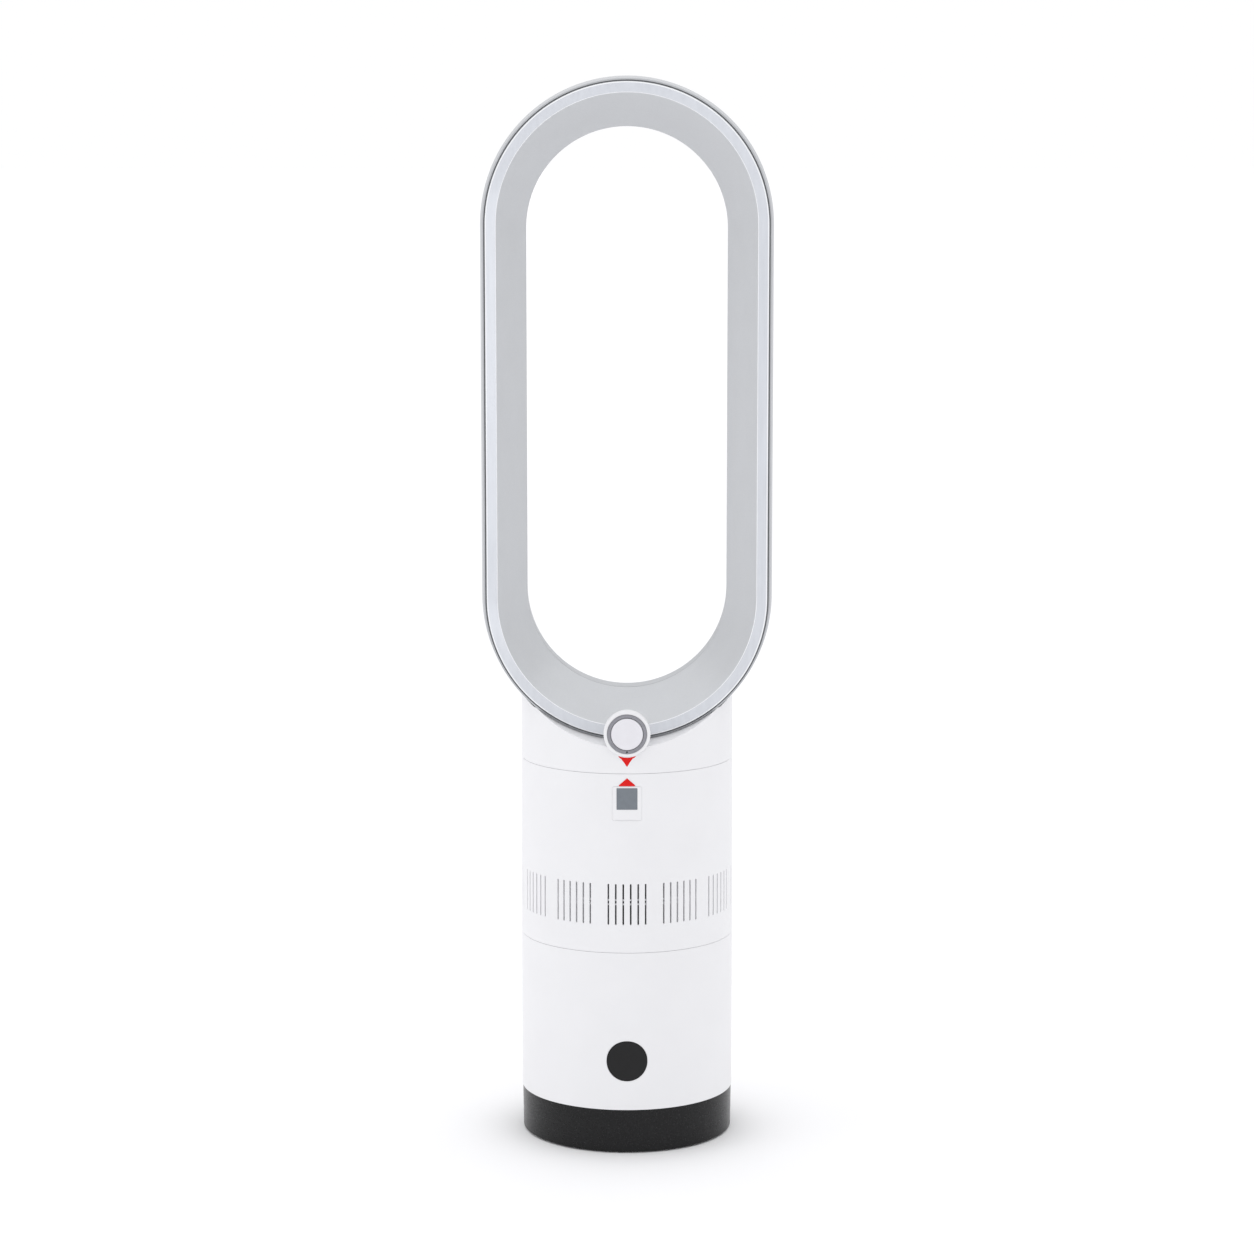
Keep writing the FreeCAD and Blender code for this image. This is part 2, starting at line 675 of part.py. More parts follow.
def swing_motor():
    """The slow gear motor under the deck; its can has two ears and a boss round the shaft."""
    top = f"{DECK_TOP} - deck_thick"
    can = rod("swing_can", "swing_motor_radius", "swing_motor_height",
              ("0", GEAR_DISTANCE, f"{top} - swing_motor_height"))
    boss = rod("swing_boss", "swing_shaft_radius + 3", "deck_thick - 0.5", ("0", GEAR_DISTANCE, top))
    ears = block("swing_ears", ("2 * swing_motor_radius + 16", "12", "1.5"),
                 ("-swing_motor_radius - 8", f"{GEAR_DISTANCE} - 6", f"{top} - 1.5"))
    bore = rod("swing_bore", "swing_shaft_radius + running_gap", "swing_motor_height",
               ("0", GEAR_DISTANCE, f"{top} - swing_motor_height + 4"))
    node(cut("swing_drive", fuse("swing_blank", [can, boss, ears]), bore), "swing_motor")


def gear_wire(create, teeth, shift):
    """The closed involute outline of a gear; a negative shift thins its teeth for backlash."""
    builder = fcgear.FCWireBuilder()
    pressure_angle, addendum, dedendum, fillet = 20, 1.0, 1.25, 0.38
    create(builder, value("gear_module"), int(value(teeth)), pressure_angle, False,
           addendum, dedendum, fillet, shift)
    return Part.Wire([edge.toShape() for edge in builder.wire])


def drive_pinion():
    """The small gear on the swing motor's shaft."""
    face = Part.Face(gear_wire(involute.CreateExternalGear, "pinion_teeth", value("pinion_shift")))
    height = value("gear_height - pinion_lift - shaft_drop")
    blank = face.extrude(FreeCAD.Vector(0, 0, height))
    item = doc.addObject("Part::Feature", "pinion_gear")
    item.Shape = blank.cut(Part.makeCylinder(value("swing_shaft_radius"), height))
    low = value(f"{PLATE_LOW} - gear_height + pinion_lift")
    half_tooth = 180 / value("pinion_teeth")
    item.Placement = FreeCAD.Placement(FreeCAD.Vector(0, value(GEAR_DISTANCE), low),
                                       FreeCAD.Rotation(FreeCAD.Vector(0, 0, 1), half_tooth))
    node(item, "drive_pinion")
    base = f"{DECK_TOP} - deck_thick - swing_motor_height + 4"
    shaft = rod("swing_spindle", "swing_shaft_radius", f"{PLATE_LOW} - shaft_drop - ({base})",
                ("0", GEAR_DISTANCE, base))
    node(shaft, "swing_shaft")


def ring_gear():
    """The inward-toothed ring under the turning plate."""
    teeth = Part.Face(gear_wire(involute.CreateInternalGear, "ring_teeth", 0))
    outer = value(GEAR_OUT)
    height = value("gear_height")
    hollow = teeth.extrude(FreeCAD.Vector(0, 0, height))
    item = doc.addObject("Part::Feature", "ring_gear_body")
    item.Shape = Part.makeCylinder(outer, height).cut(hollow)
    item.Placement = FreeCAD.Placement(
        FreeCAD.Vector(0, 0, value(f"{PLATE_LOW} - gear_height")), FreeCAD.Rotation())
    node(item, "ring_gear")


def swivel_plate():
    """The column's turning bottom plate, with a rim that centres the housing above it."""
    body = new_body("swivel_plate")
    plate_out = f"{SHELL_BORE} - plate_gap"
    revolve(body, "plate", [
        ("spigot_radius + bush_wall", PLATE_LOW),
        (plate_out, PLATE_LOW),
        (plate_out, PLATE_RIM),
        (SHELL_BORE, PLATE_RIM),
        (SHELL_BORE, RIM_TOP),
        (LEDGE_IN, RIM_TOP),
        (LEDGE_IN, PLATE_TOP),
        ("spigot_radius + bush_wall", PLATE_TOP)])


def pivot_bush():
    """The plastic bush that runs on the deck's spigot."""
    body = new_body("pivot_bush")
    revolve(body, "bush", [
        ("spigot_radius + running_gap", PLATE_LOW),
        ("spigot_radius + bush_wall", PLATE_LOW),
        ("spigot_radius + bush_wall", PLATE_TOP),
        ("spigot_radius + bush_wall + bush_flange", PLATE_TOP),
        ("spigot_radius + bush_wall + bush_flange", f"{PLATE_TOP} + flange_thick"),
        ("spigot_radius + running_gap", f"{PLATE_TOP} + flange_thick")])


# ---------------------------------------------------------------- the turning column

def motor_housing():
    """The white middle shell with its ring of slits, two inner ribs across them, and two ledges."""
    body = new_body("motor_housing")
    revolve(body, "housing_shell", [
        ("body_radius", HOUSING_LOW),
        ("body_radius - column_draft", HOUSING_TOP),
        (f"{SHELL_BORE} - column_draft", HOUSING_TOP),
        (SHELL_BORE, "duct_ledge"),
        (LEDGE_IN, "duct_ledge"),
        (LEDGE_IN, "duct_ledge - 1"),
        (SHELL_BORE, "duct_ledge - 4"),
        (SHELL_BORE, f"{RIM_TOP} + ledge_height"),
        (LEDGE_IN, f"{RIM_TOP} + ledge_height"),
        (LEDGE_IN, RIM_TOP),
        (SHELL_BORE, RIM_TOP),
        (SHELL_BORE, HOUSING_LOW)])
    turn = "-slit_pitch * (slit_count - 1) / 2"
    sketch = new_sketch(body, "slit", "XZ_Plane", f"{SHELL_BORE} - ledge_width", turn)
    stadium(sketch, "slit_width / 2", "slit_low + slit_width / 2", "slit_high - slit_width / 2")
    slit = extrude(body, "slit_cut", sketch, "shell_wall + 2 * ledge_width", cut=True, flip=True)
    many = body.newObject("PartDesign::MultiTransform", "slits")
    many.Originals = [slit]
    group = around(body, "slit_group", [], "slit_count", "slit_pitch * (slit_count - 1)")
    groups = around(body, "slit_groups_ring", [], "slit_groups")
    many.Transformations = [group, groups]
    body.Tip = many
    for index in range(2):
        low = f"rib_low + {index} * rib_rise"
        revolve(body, f"slit_rib_{index}", [
            (f"{SHELL_BORE} - rib_depth", low),
            (f"{SHELL_BORE} + 0.2", low),
            (f"{SHELL_BORE} + 0.2", f"{low} + rib_height"),
            (f"{SHELL_BORE} - rib_depth", f"{low} + rib_height")])
    panel = new_sketch(body, "panel_hole", "XZ_Plane")
    rectangle(panel, "-panel_width / 2", "panel_width / 2", "panel_low", "panel_high")
    extrude(body, "panel_cut", panel, "body_radius + 5", cut=True, flip=True)


def intake_screen():
    """The fine dust screen inside the slits."""
    body = new_body("intake_screen")
    out = f"{SHELL_BORE} - rib_depth - 0.4"
    low = f"{RIM_TOP} + ledge_height"
    revolve(body, "screen", [
        (f"{out} - screen_thick", low),
        (out, low),
        (out, "duct_ledge - 4"),
        (f"{out} - screen_thick", "duct_ledge - 4")])


def duct_shroud():
    """The fixed duct: a flared eye, a cone round the impeller, a straight barrel and two flanges."""
    body = new_body("duct_shroud")
    revolve(body, "shroud", [
        ("eye_radius + 6", "duct_ledge - 6"),
        ("eye_radius + 1", "duct_ledge - 1"),
        ("eye_radius", "duct_ledge + eye_rise"),
        ("cone_radius", "duct_ledge + cone_rise"),
        ("duct_radius", "duct_ledge + duct_rise"),
        ("duct_radius", COLLAR_LOW),
        (f"{SHELL_BORE} - column_draft - 0.6", COLLAR_LOW),
        (f"{SHELL_BORE} - column_draft - 0.6", f"{COLLAR_LOW} - duct_wall"),
        ("duct_radius + duct_wall", f"{COLLAR_LOW} - duct_wall"),
        ("duct_radius + duct_wall", "duct_ledge + duct_rise"),
        ("cone_radius + duct_wall + 0.4", "duct_ledge + cone_rise"),
        ("eye_radius + duct_wall + 1", "duct_ledge + eye_rise + 0.6"),
        ("eye_radius + duct_wall + 1", "duct_ledge + duct_wall"),
        (f"{SHELL_BORE} - 0.2", "duct_ledge + duct_wall"),
        (f"{SHELL_BORE} - 0.2", "duct_ledge"),
        ("eye_radius + duct_wall + 2", "duct_ledge"),
        ("eye_radius + 8", "duct_ledge - 5")])


def impeller():
    """The mixed-flow impeller: a hollow cone hub and flat swept blades trimmed to the duct's cone."""
    body = new_body("impeller")
    low = "(duct_ledge + eye_rise)"
    tip = "(duct_ledge + cone_rise + 3)"
    slope = "((cone_radius - eye_radius) / (cone_rise - eye_rise))"
    sketch = new_sketch(body, "blade_plan", "XY_Plane", f"{low} + 3")
    outline(sketch, [
        ("hub_nose - 4", "0"),
        ("cone_radius + 2", "-blade_sweep"),
        ("cone_radius + 2", "-blade_sweep + blade_thick"),
        ("hub_nose - 4", "blade_thick")])
    blade = extrude(body, "blade", sketch, f"{tip} - ({low} + 3)")
    around(body, "blades", [blade], "blade_count")
    revolve(body, "blade_tips", [
        ("eye_radius - tip_gap", low),
        (f"eye_radius - tip_gap + {slope} * ({tip} + 1 - {low})", f"{tip} + 1"),
        ("body_radius", f"{tip} + 1"),
        ("body_radius", low)], cut=True)
    revolve(body, "hub", [
        ("motor_shaft_radius", f"{low} + 1"),
        ("hub_nose - 4", f"{low} + 1"),
        ("hub_nose", f"{low} + 4"),
        ("hub_radius - 3", tip),
        ("hub_radius", f"{HUB_TOP} - 2"),
        ("hub_radius", HUB_TOP),
        ("motor_shaft_radius", HUB_TOP)])
    revolve(body, "hub_hollow", [
        ("motor_shaft_radius + 4", f"{low} + 12"),
        ("hub_nose", f"{low} + 12"),
        ("hub_radius - 5", f"{HUB_TOP} - 3"),
        ("hub_radius - 5", HUB_TOP),
        ("motor_shaft_radius + 4", HUB_TOP)], cut=True)


def motor_shaft():
    """The steel shaft, with the nut that holds the impeller on it."""
    low = "duct_ledge + eye_rise - 4"
    node(rod("spindle", "motor_shaft_radius", f"{BUCKET_TOP} + bearing_thick - ({low})", ("0", "0", low)),
         "motor_shaft")
    ring = rod("nut_blank", "5", "3.6", ("0", "0", "duct_ledge + eye_rise - 2.6"))
    hole = rod("nut_bore", "motor_shaft_radius", "3.6", ("0", "0", "duct_ledge + eye_rise - 2.6"))
    node(cut("nut", ring, hole), "impeller_nut")


def motor_rotor():
    body = new_body("motor_rotor")
    revolve(body, "rotor", [
        ("motor_shaft_radius", STACK_LOW),
        ("rotor_radius", STACK_LOW),
        ("rotor_radius", f"{STACK_LOW} + stack_height"),
        ("motor_shaft_radius", f"{STACK_LOW} + stack_height")])


def motor_stator():
    """The laminated ring and its inward teeth."""
    body = new_body("motor_stator")
    revolve(body, "yoke", [
        (f"{STATOR_OUT} - stator_ring", STACK_LOW),
        (STATOR_OUT, STACK_LOW),
        (STATOR_OUT, f"{STACK_LOW} + stack_height"),
        (f"{STATOR_OUT} - stator_ring", f"{STACK_LOW} + stack_height")])
    sketch = rectangle(new_sketch(body, "tooth_plan", "XY_Plane", STACK_LOW),
                       "rotor_radius + air_gap + 0.4", f"{STATOR_OUT} - stator_ring / 2",
                       "-tooth_width / 2", "tooth_width / 2")
    around(body, "teeth", [extrude(body, "tooth", sketch, "stack_height")], "tooth_count")


def motor_windings():
    """One coil round each tooth."""
    body = new_body("motor_windings")
    inner = "rotor_radius + air_gap + 1"
    outer = f"{STATOR_OUT} - stator_ring - 0.6"
    sketch = rectangle(new_sketch(body, "coil_plan", "XY_Plane", f"{STACK_LOW} - 1.5"),
                       inner, outer, "-tooth_width / 2 - 1.6", "tooth_width / 2 + 1.6")
    coil = extrude(body, "coil", sketch, "stack_height + 3")
    core = rectangle(new_sketch(body, "coil_core", "XY_Plane", STACK_LOW),
                     inner, outer, "-tooth_width / 2", "tooth_width / 2")
    core_cut = extrude(body, "coil_core_cut", core, "stack_height", cut=True, flip=True)
    around(body, "coils", [coil, core_cut], "tooth_count")


def bearing(name, low):
    body = new_body(name)
    revolve(body, f"{name}_ring", [
        ("motor_shaft_radius + running_gap", low),
        ("bearing_radius", low),
        ("bearing_radius", f"{low} + bearing_thick"),
        ("motor_shaft_radius + running_gap", f"{low} + bearing_thick")])


def motor_bucket():
    """The cup that holds the motor, with the lower bearing's seat in its floor."""
    body = new_body("motor_bucket")
    revolve(body, "bucket", [
        ("bearing_radius", BUCKET_LOW),
        ("bucket_radius", BUCKET_LOW),
        ("bucket_radius", BUCKET_TOP),
        (STATOR_OUT, BUCKET_TOP),
        (STATOR_OUT, f"{STACK_LOW} - 2"),
        (f"{STATOR_OUT} - 2", f"{STACK_LOW} - 2"),
        (f"{STATOR_OUT} - 2", f"{BUCKET_LOW} + 2.4"),
        ("bearing_radius + 2", f"{BUCKET_LOW} + 2.4"),
        ("bearing_radius + 2", f"{BUCKET_LOW} + bearing_thick"),
        ("bearing_radius", f"{BUCKET_LOW} + bearing_thick")])


def nose_cone():
    """The domed cap over the motor, with the upper bearing's seat under it."""
    body = new_body("nose_cone")
    revolve(body, "nose", [
        ("bearing_radius", BUCKET_TOP),
        ("hub_radius", BUCKET_TOP),
        ("hub_radius", f"{BUCKET_TOP} + 2"),
        ("hub_radius - 6", f"{BUCKET_TOP} + 9"),
        ("hub_radius - 20", f"{BUCKET_TOP} + 13"),
        ("0", f"{BUCKET_TOP} + 15"),
        ("0", f"{BUCKET_TOP} + 13"),
        ("hub_radius - 20", f"{BUCKET_TOP} + 11"),
        ("hub_radius - 8", f"{BUCKET_TOP} + 6.5"),
        ("hub_radius - 8", f"{BUCKET_TOP} + 2"),
        ("bearing_radius + 2", f"{BUCKET_TOP} + 2"),
        ("bearing_radius + 2", f"{BUCKET_TOP} + bearing_thick"),
        ("bearing_radius", f"{BUCKET_TOP} + bearing_thick")])


def mount_rings():
    """Two rubber rings that hold the bucket in the diffuser and keep its hum out of the duct."""
    body = new_body("mount_rings")
    for index, lift in enumerate(("3", "vane_height - 5")):
        low = f"{BUCKET_LOW} + {lift}"
        revolve(body, f"mount_{index}", [
            ("bucket_radius", low),
            ("hub_radius - sleeve_wall", low),
            ("hub_radius - sleeve_wall", f"{low} + 4"),
            ("bucket_radius", f"{low} + 4")])


def diffuser():
    """The ring of straightening vanes between an inner sleeve and the duct's barrel."""
    body = new_body("diffuser")
    top = f"{BUCKET_LOW} + vane_height"
    revolve(body, "inner_sleeve", [
        ("hub_radius - sleeve_wall", BUCKET_LOW),
        ("hub_radius", BUCKET_LOW),
        ("hub_radius", top),
        ("hub_radius - sleeve_wall", top)])
    sketch = rectangle(new_sketch(body, "vane_plan", "XY_Plane", f"{BUCKET_LOW} + 3"),
                       "hub_radius - 0.6", "duct_radius - 0.6 - sleeve_wall / 2",
                       "-vane_thick / 2", "vane_thick / 2")
    vane = extrude(body, "vane", sketch, "vane_height - 3")
    around(body, "vanes", [vane], "vane_count")
    revolve(body, "outer_sleeve", [
        ("duct_radius - sleeve_wall", f"{BUCKET_LOW} + 3"),
        ("duct_radius", f"{BUCKET_LOW} + 3"),
        ("duct_radius", top),
        ("duct_radius - sleeve_wall", top)])


def motor_board():
    """The round driver board under the nose cone."""
    body = new_body("motor_board")
    revolve(body, "driver_card", [
        ("bearing_radius + 4", f"{BUCKET_TOP} + 2"),
        ("hub_radius - 9", f"{BUCKET_TOP} + 2"),
        ("hub_radius - 9", f"{BUCKET_TOP} + 2 + board_thick"),
        ("bearing_radius + 4", f"{BUCKET_TOP} + 2 + board_thick")])


def front_slice(name, low_radius, high_radius, half_width, low, high):
    """The part of an upright ring that stands in front, between two heights and two sides."""
    ring = cut(f"{name}_ring", rod(f"{name}_out", high_radius, f"{high} - ({low})", ("0", "0", low)),
               rod(f"{name}_in", low_radius, f"{high} - ({low})", ("0", "0", low)))
    face = block(f"{name}_face", (f"2 * ({half_width})", "body_radius + 10", f"{high} - ({low})"),
                 (f"-({half_width})", "-body_radius - 10", low))
    return common(f"{name}_slice", [ring, face])


def display():
    """The flush display: a curved frame, the tinted window in it and the board behind."""
    outer = "body_radius - column_draft + panel_proud"
    inner = f"{SHELL_BORE} - column_draft"
    frame = front_slice("frame", inner, outer, "panel_width / 2", "panel_low", "panel_high")
    hole = block("glass_hole", ("glass_width", "body_radius + 10", "glass_high - glass_low"),
                 ("-glass_width / 2", "-body_radius - 10", "glass_low"))
    node(cut("display_surround", frame, hole), "display_frame")
    glass = front_slice("glass", inner, f"{outer} - 0.1", "glass_width / 2",
                        "glass_low", "glass_high")
    node(glass, "display_window")
    card_top = f"{COLLAR_LOW} - duct_wall - 0.5"
    board = block("display_card", ("panel_width - 1", "board_thick", f"{card_top} - panel_low"),
                  ("-(panel_width - 1) / 2", f"-{SHELL_BORE} + 6", "panel_low"))
    digits = block("display_digits", ("glass_width - 4", "4.2", f"{card_top} - glass_low - 1"),
                   ("-(glass_width - 4) / 2", f"-{SHELL_BORE} + 1.8", "glass_low + 1"))
    node(fuse("display_pack", [board, digits]), "display_board")


# ---------------------------------------------------------------- the twist lock

def lock_collar():
    """The collar in the column's top: a channel for the lugs, under a lip with a gate for each lug."""
    body = new_body("lock_collar")
    lip_low = f"{SEAT} - collar_lip"
    out = f"{SHELL_BORE} - column_draft"
    revolve(body, "collar", [
        ("collar_bore", SEAT),
        (f"{out} - 0.8", SEAT),
        (f"{out} - 0.8", f"{SEAT} - 1.6"),
        (out, f"{SEAT} - 1.6"),
        (out, COLLAR_LOW),
        ("collar_bore", COLLAR_LOW),
        ("collar_bore", f"{COLLAR_LOW} + collar_floor"),
        ("channel_radius", f"{COLLAR_LOW} + collar_floor"),
        ("channel_radius", lip_low),
        ("collar_bore", lip_low)])
    gate = new_sketch(body, "gate_plan", "XY_Plane", lip_low, "unlock_turn")
    rectangle(gate, "collar_bore - 3", "lug_reach + 1.6", "-lug_half - 2.5", "lug_half + 2.5")
    around(body, "gates", [extrude(body, "gate", gate, "collar_lip", cut=True, flip=True)], "lug_count")


def bayonet_ring():
    """The head's ring: a flange under the neck, a skirt in the collar and four lugs under its lip."""
    body = new_body("bayonet_ring")
    skirt_out = "collar_bore - moving_gap"
    lug_low = f"{SEAT} - collar_lip - moving_gap - lug_height"
    revolve(body, "skirt", [
        (f"{skirt_out} - ledge_width", f"{lug_low} - 2"),
        (skirt_out, f"{lug_low} - 2"),
        (skirt_out, SEAT),
        (f"{NECK_BORE} - 0.4", SEAT),
        (f"{NECK_BORE} - 0.4", f"{SEAT} + 2.5"),
        (f"{skirt_out} - ledge_width", f"{SEAT} + 2.5")])
    plan = rectangle(new_sketch(body, "lug_plan", "XY_Plane", lug_low),
                     f"{skirt_out} - 2.6", "lug_reach", "-lug_half", "lug_half")
    around(body, "lugs", [extrude(body, "lug", plan, "lug_height")], "lug_count")
    screw_holes(body, "flange_screw", f"{SEAT} + 0.6", "neck_screw_radius", NECK_SCREW_CIRCLE, "5", "4", "45")


def neck_screws():
    """Screws from inside the neck down into the bayonet ring's flange."""
    screws("neck_screws", "4", NECK_SCREW_CIRCLE, f"{SEAT} + 5", "neck_screw_radius", f"{SEAT} + 0.6", "45")


# ---------------------------------------------------------------- the air loop

def outer_sections(grow):
    """The loop's outer skin from front to back, grown outwards by an amount."""
    steps = [
        ("-loop_front + 4.5", "loop_radius - seam_inset"),
        ("-loop_front + 10", "loop_radius - 1.4"),
        ("-loop_front + 24", "loop_radius"),
        ("loop_back - 33", "loop_radius"),
        ("loop_back - 10", "loop_radius - 2.4"),
        ("loop_back - 3", "loop_radius - 5.6"),
        ("loop_back", "loop_radius - 10")]
    return [(depth, f"{radius} + {grow}", "loop_low", "loop_high") for depth, radius in steps]


THROAT_TOP = "(loop_high - throat_drop)"
RIM_OUT = "(loop_radius - seam_inset - seam_strip - 0.2)"
BEVEL_OUT = "(loop_radius - seam_inset - seam_strip - 1.2)"
BEVEL_IN = "(loop_radius - seam_inset - seam_strip - 1.2 - bevel_width)"
JET_RADIUS = "(throat_radius + lip_wall + slot_width)"


def loop_rear_shell():
    """The loop's outer casing: outer skin, rounded back and the lip that forms the air slot."""
    body = new_body("loop_rear_shell")
    loft(body, "rear_skin", outer_sections("0"))
    loft(body, "rear_hollow", [
        ("-loop_front", RIM_OUT, "loop_low", "loop_high"),
        ("-loop_front + 10", RIM_OUT, "loop_low", "loop_high"),
        ("-loop_front + 24", "loop_radius - loop_wall", "loop_low", "loop_high"),
        ("loop_back - 33", "loop_radius - loop_wall", "loop_low", "loop_high"),
        ("loop_back - 11", "loop_radius - 2.4 - loop_wall", "loop_low", "loop_high"),
        ("loop_back - loop_wall", "loop_radius - 12", "loop_low", "loop_high")], cut=True)
    loft(body, "lip", [
        ("throat_front", "throat_radius + lip_wall", "loop_low", THROAT_TOP),
        ("loop_back - 16", "throat_radius + lip_wall", "loop_low", THROAT_TOP),
        ("loop_back - 6", "throat_radius + lip_wall + 2.4", "loop_low", THROAT_TOP),
        ("loop_back", "throat_radius + 14", "loop_low", THROAT_TOP)])
    loft(body, "through", [
        ("throat_front - 5", "throat_radius", "loop_low", THROAT_TOP),
        ("loop_back - 16", "throat_radius", "loop_low", THROAT_TOP),
        ("loop_back - 6", "throat_radius + 1.8", "loop_low", THROAT_TOP),
        ("loop_back + 1", "throat_radius + 8", "loop_low", THROAT_TOP)], cut=True)
    port = rectangle(new_sketch(body, "port_plan", "XY_Plane", "lock_seam"),
                     "-port_half_width", "port_half_width", "-port_half_depth", "port_half_depth")
    extrude(body, "port", port, "loop_low - 100 - lock_seam", cut=True, flip=True)


def loop_front_shell():
    """The loop's inner casing: a bevelled rim and the sloping face that the air follows."""
    body = new_body("loop_front_shell")
    face_back = "throat_front + 22"
    loft(body, "rim_block", [
        ("-loop_front", f"{BEVEL_OUT} + 0.6", "loop_low", "loop_high"),
        ("-loop_front + 2", RIM_OUT, "loop_low", "loop_high"),
        ("-loop_front + 9", RIM_OUT, "loop_low", "loop_high")])
    loft(body, "face_block", [
        ("-loop_front + 4", f"{BEVEL_IN} + face_wall + 1", "loop_low", "loop_high"),
        ("throat_front", f"{JET_RADIUS} + face_wall", "loop_low", THROAT_TOP),
        (face_back, f"{JET_RADIUS} + face_wall", "loop_low", THROAT_TOP)])
    loft(body, "face", [
        ("-loop_front", BEVEL_OUT, "loop_low", "loop_high"),
        ("-loop_front + bevel_depth", BEVEL_IN, "loop_low", "loop_high"),
        ("throat_front", JET_RADIUS, "loop_low", THROAT_TOP),
        (face_back, JET_RADIUS, "loop_low", THROAT_TOP)], cut=True)


def seam_strip():
    """The dark strip that closes the seam between the two casings, all round the front."""
    body = new_body("seam_strip")
    low, back = "-loop_front + 1.6", "-loop_front + 4.5"
    out = "loop_radius - seam_inset - 0.2"
    loft(body, "strip", [(low, out, "loop_low", "loop_high"), (back, out, "loop_low", "loop_high")])
    loft(body, "strip_hole", [(low, RIM_OUT, "loop_low", "loop_high"),
                              (back, RIM_OUT, "loop_low", "loop_high")], cut=True)


# ---------------------------------------------------------------- the neck and its button

def neck_column(name, inset):
    """The neck's tapered column, as one solid, reaching up past the cradle."""
    body = doc.addObject("PartDesign::Body", name)
    revolve(body, f"{name}_turn", [
        ("0", SEAT),
        (f"{NECK_OUT} - {inset}", SEAT),
        (f"{NECK_TOP_OUT} - {inset}", NECK_REACH),
        ("0", NECK_REACH)])
    return body


def cradle(name, inset):
    """The space that the loop lies in: narrow at the front and back edges, wider under the loop."""
    narrow = rod(f"{name}_narrow", f"loop_radius - cradle_lip + {inset}",
                 "2 * body_radius + 20", ("0", "body_radius + 10", "loop_low"), "front")
    wide = rod(f"{name}_wide", f"loop_radius + cradle_gap + {inset}",
               "loop_front + loop_back - 12", ("0", "loop_back - 6", "loop_low"), "front")
    return fuse(name, [narrow, wide])


def neck_housing():
    """The white neck: a shell with a saddle on top, an air port, and a pod for the power button."""
    outside = cut("neck_outside", neck_column("neck_block", "0"), cradle("cradle", "0"))
    floor = rod("neck_floor", "body_radius", f"{SEAT} + 5 - lock_seam + 10", ("0", "0", "lock_seam - 10"))
    room = cut("neck_room", cut("neck_room_block", neck_column("neck_inner", "shell_wall"),
                                cradle("cradle_skin", "shell_wall")), floor)
    seat_bore = rod("neck_seat_bore", f"{NECK_BORE} - 6", "10", ("0", "0", SEAT))
    flange_room = rod("neck_flange_room", NECK_BORE, "2.5", ("0", "0", SEAT))
    port = block("neck_port", ("2 * port_half_width + 4", "2 * port_half_depth + 4", "100"),
                 ("-port_half_width - 2", "-port_half_depth - 2", f"{SEAT} + 5"))
    holes = [rod(f"neck_screw_hole_{i}", "neck_screw_radius", "6",
                 (f"{NECK_SCREW_CIRCLE} * cos(45 + {i} * 90)", f"{NECK_SCREW_CIRCLE} * sin(45 + {i} * 90)",
                  SEAT)) for i in range(4)]
    hollow = fuse("neck_hollow", [room, seat_bore, flange_room, port] + holes)
    shell = cut("neck_shell", outside, hollow)
    taper = doc.addObject("Part::Cone", "pod_taper")
    taper.setExpression("Radius1", linked("pod_radius"))
    taper.setExpression("Radius2", linked("bezel_radius - 0.6"))
    taper.setExpression("Height", linked("body_radius - pod_back"))
    taper.Placement = FreeCAD.Placement(FreeCAD.Vector(), FreeCAD.Rotation(FreeCAD.Vector(1, 0, 0), 90))
    taper.setExpression("Placement.Base.y", linked("-pod_back"))
    taper.setExpression("Placement.Base.z", linked("button_height"))
    pod = common("pod", [taper, neck_column("pod_column", "0")])
    well = rod("pod_well", "pod_bore", "body_radius + 5 - pod_floor",
               ("0", "-pod_floor", "button_height"), "front")
    node(cut("neck", fuse("neck_with_pod", [shell, pod]), well), "neck_housing")


def port_gasket():
    """The soft frame that seals the loop's port to the neck's."""
    outer = block("gasket_out", ("2 * port_half_width + 12", "2 * port_half_depth + 10", "60"),
                  ("-port_half_width - 6", "-port_half_depth - 5", f"{SEAT} + 6"))
    inner = block("gasket_in", ("2 * port_half_width + 4", "2 * port_half_depth + 4", "70"),
                  ("-port_half_width - 2", "-port_half_depth - 2", f"{SEAT} + 5"))
    shell = cut("gasket_skin",
                rod("gasket_low", "loop_radius + cradle_gap", "2 * port_half_depth + 20",
                    ("0", "port_half_depth + 10", "loop_low"), "front"),
                rod("gasket_high", "loop_radius", "2 * port_half_depth + 20",
                    ("0", "port_half_depth + 10", "loop_low"), "front"))
    node(common("gasket", [cut("gasket_frame", outer, inner), shell]), "port_gasket")


def tube(name, inner, outer, back, front):
    """A ring about the button's axis, from a depth at the back to one at the front."""
    length = f"({front}) - ({back})"
    at = ("0", f"-({back})", "button_height")
    return cut(name, rod(f"{name}_out", outer, length, at, "front"),
               rod(f"{name}_in", inner, length, at, "front"))


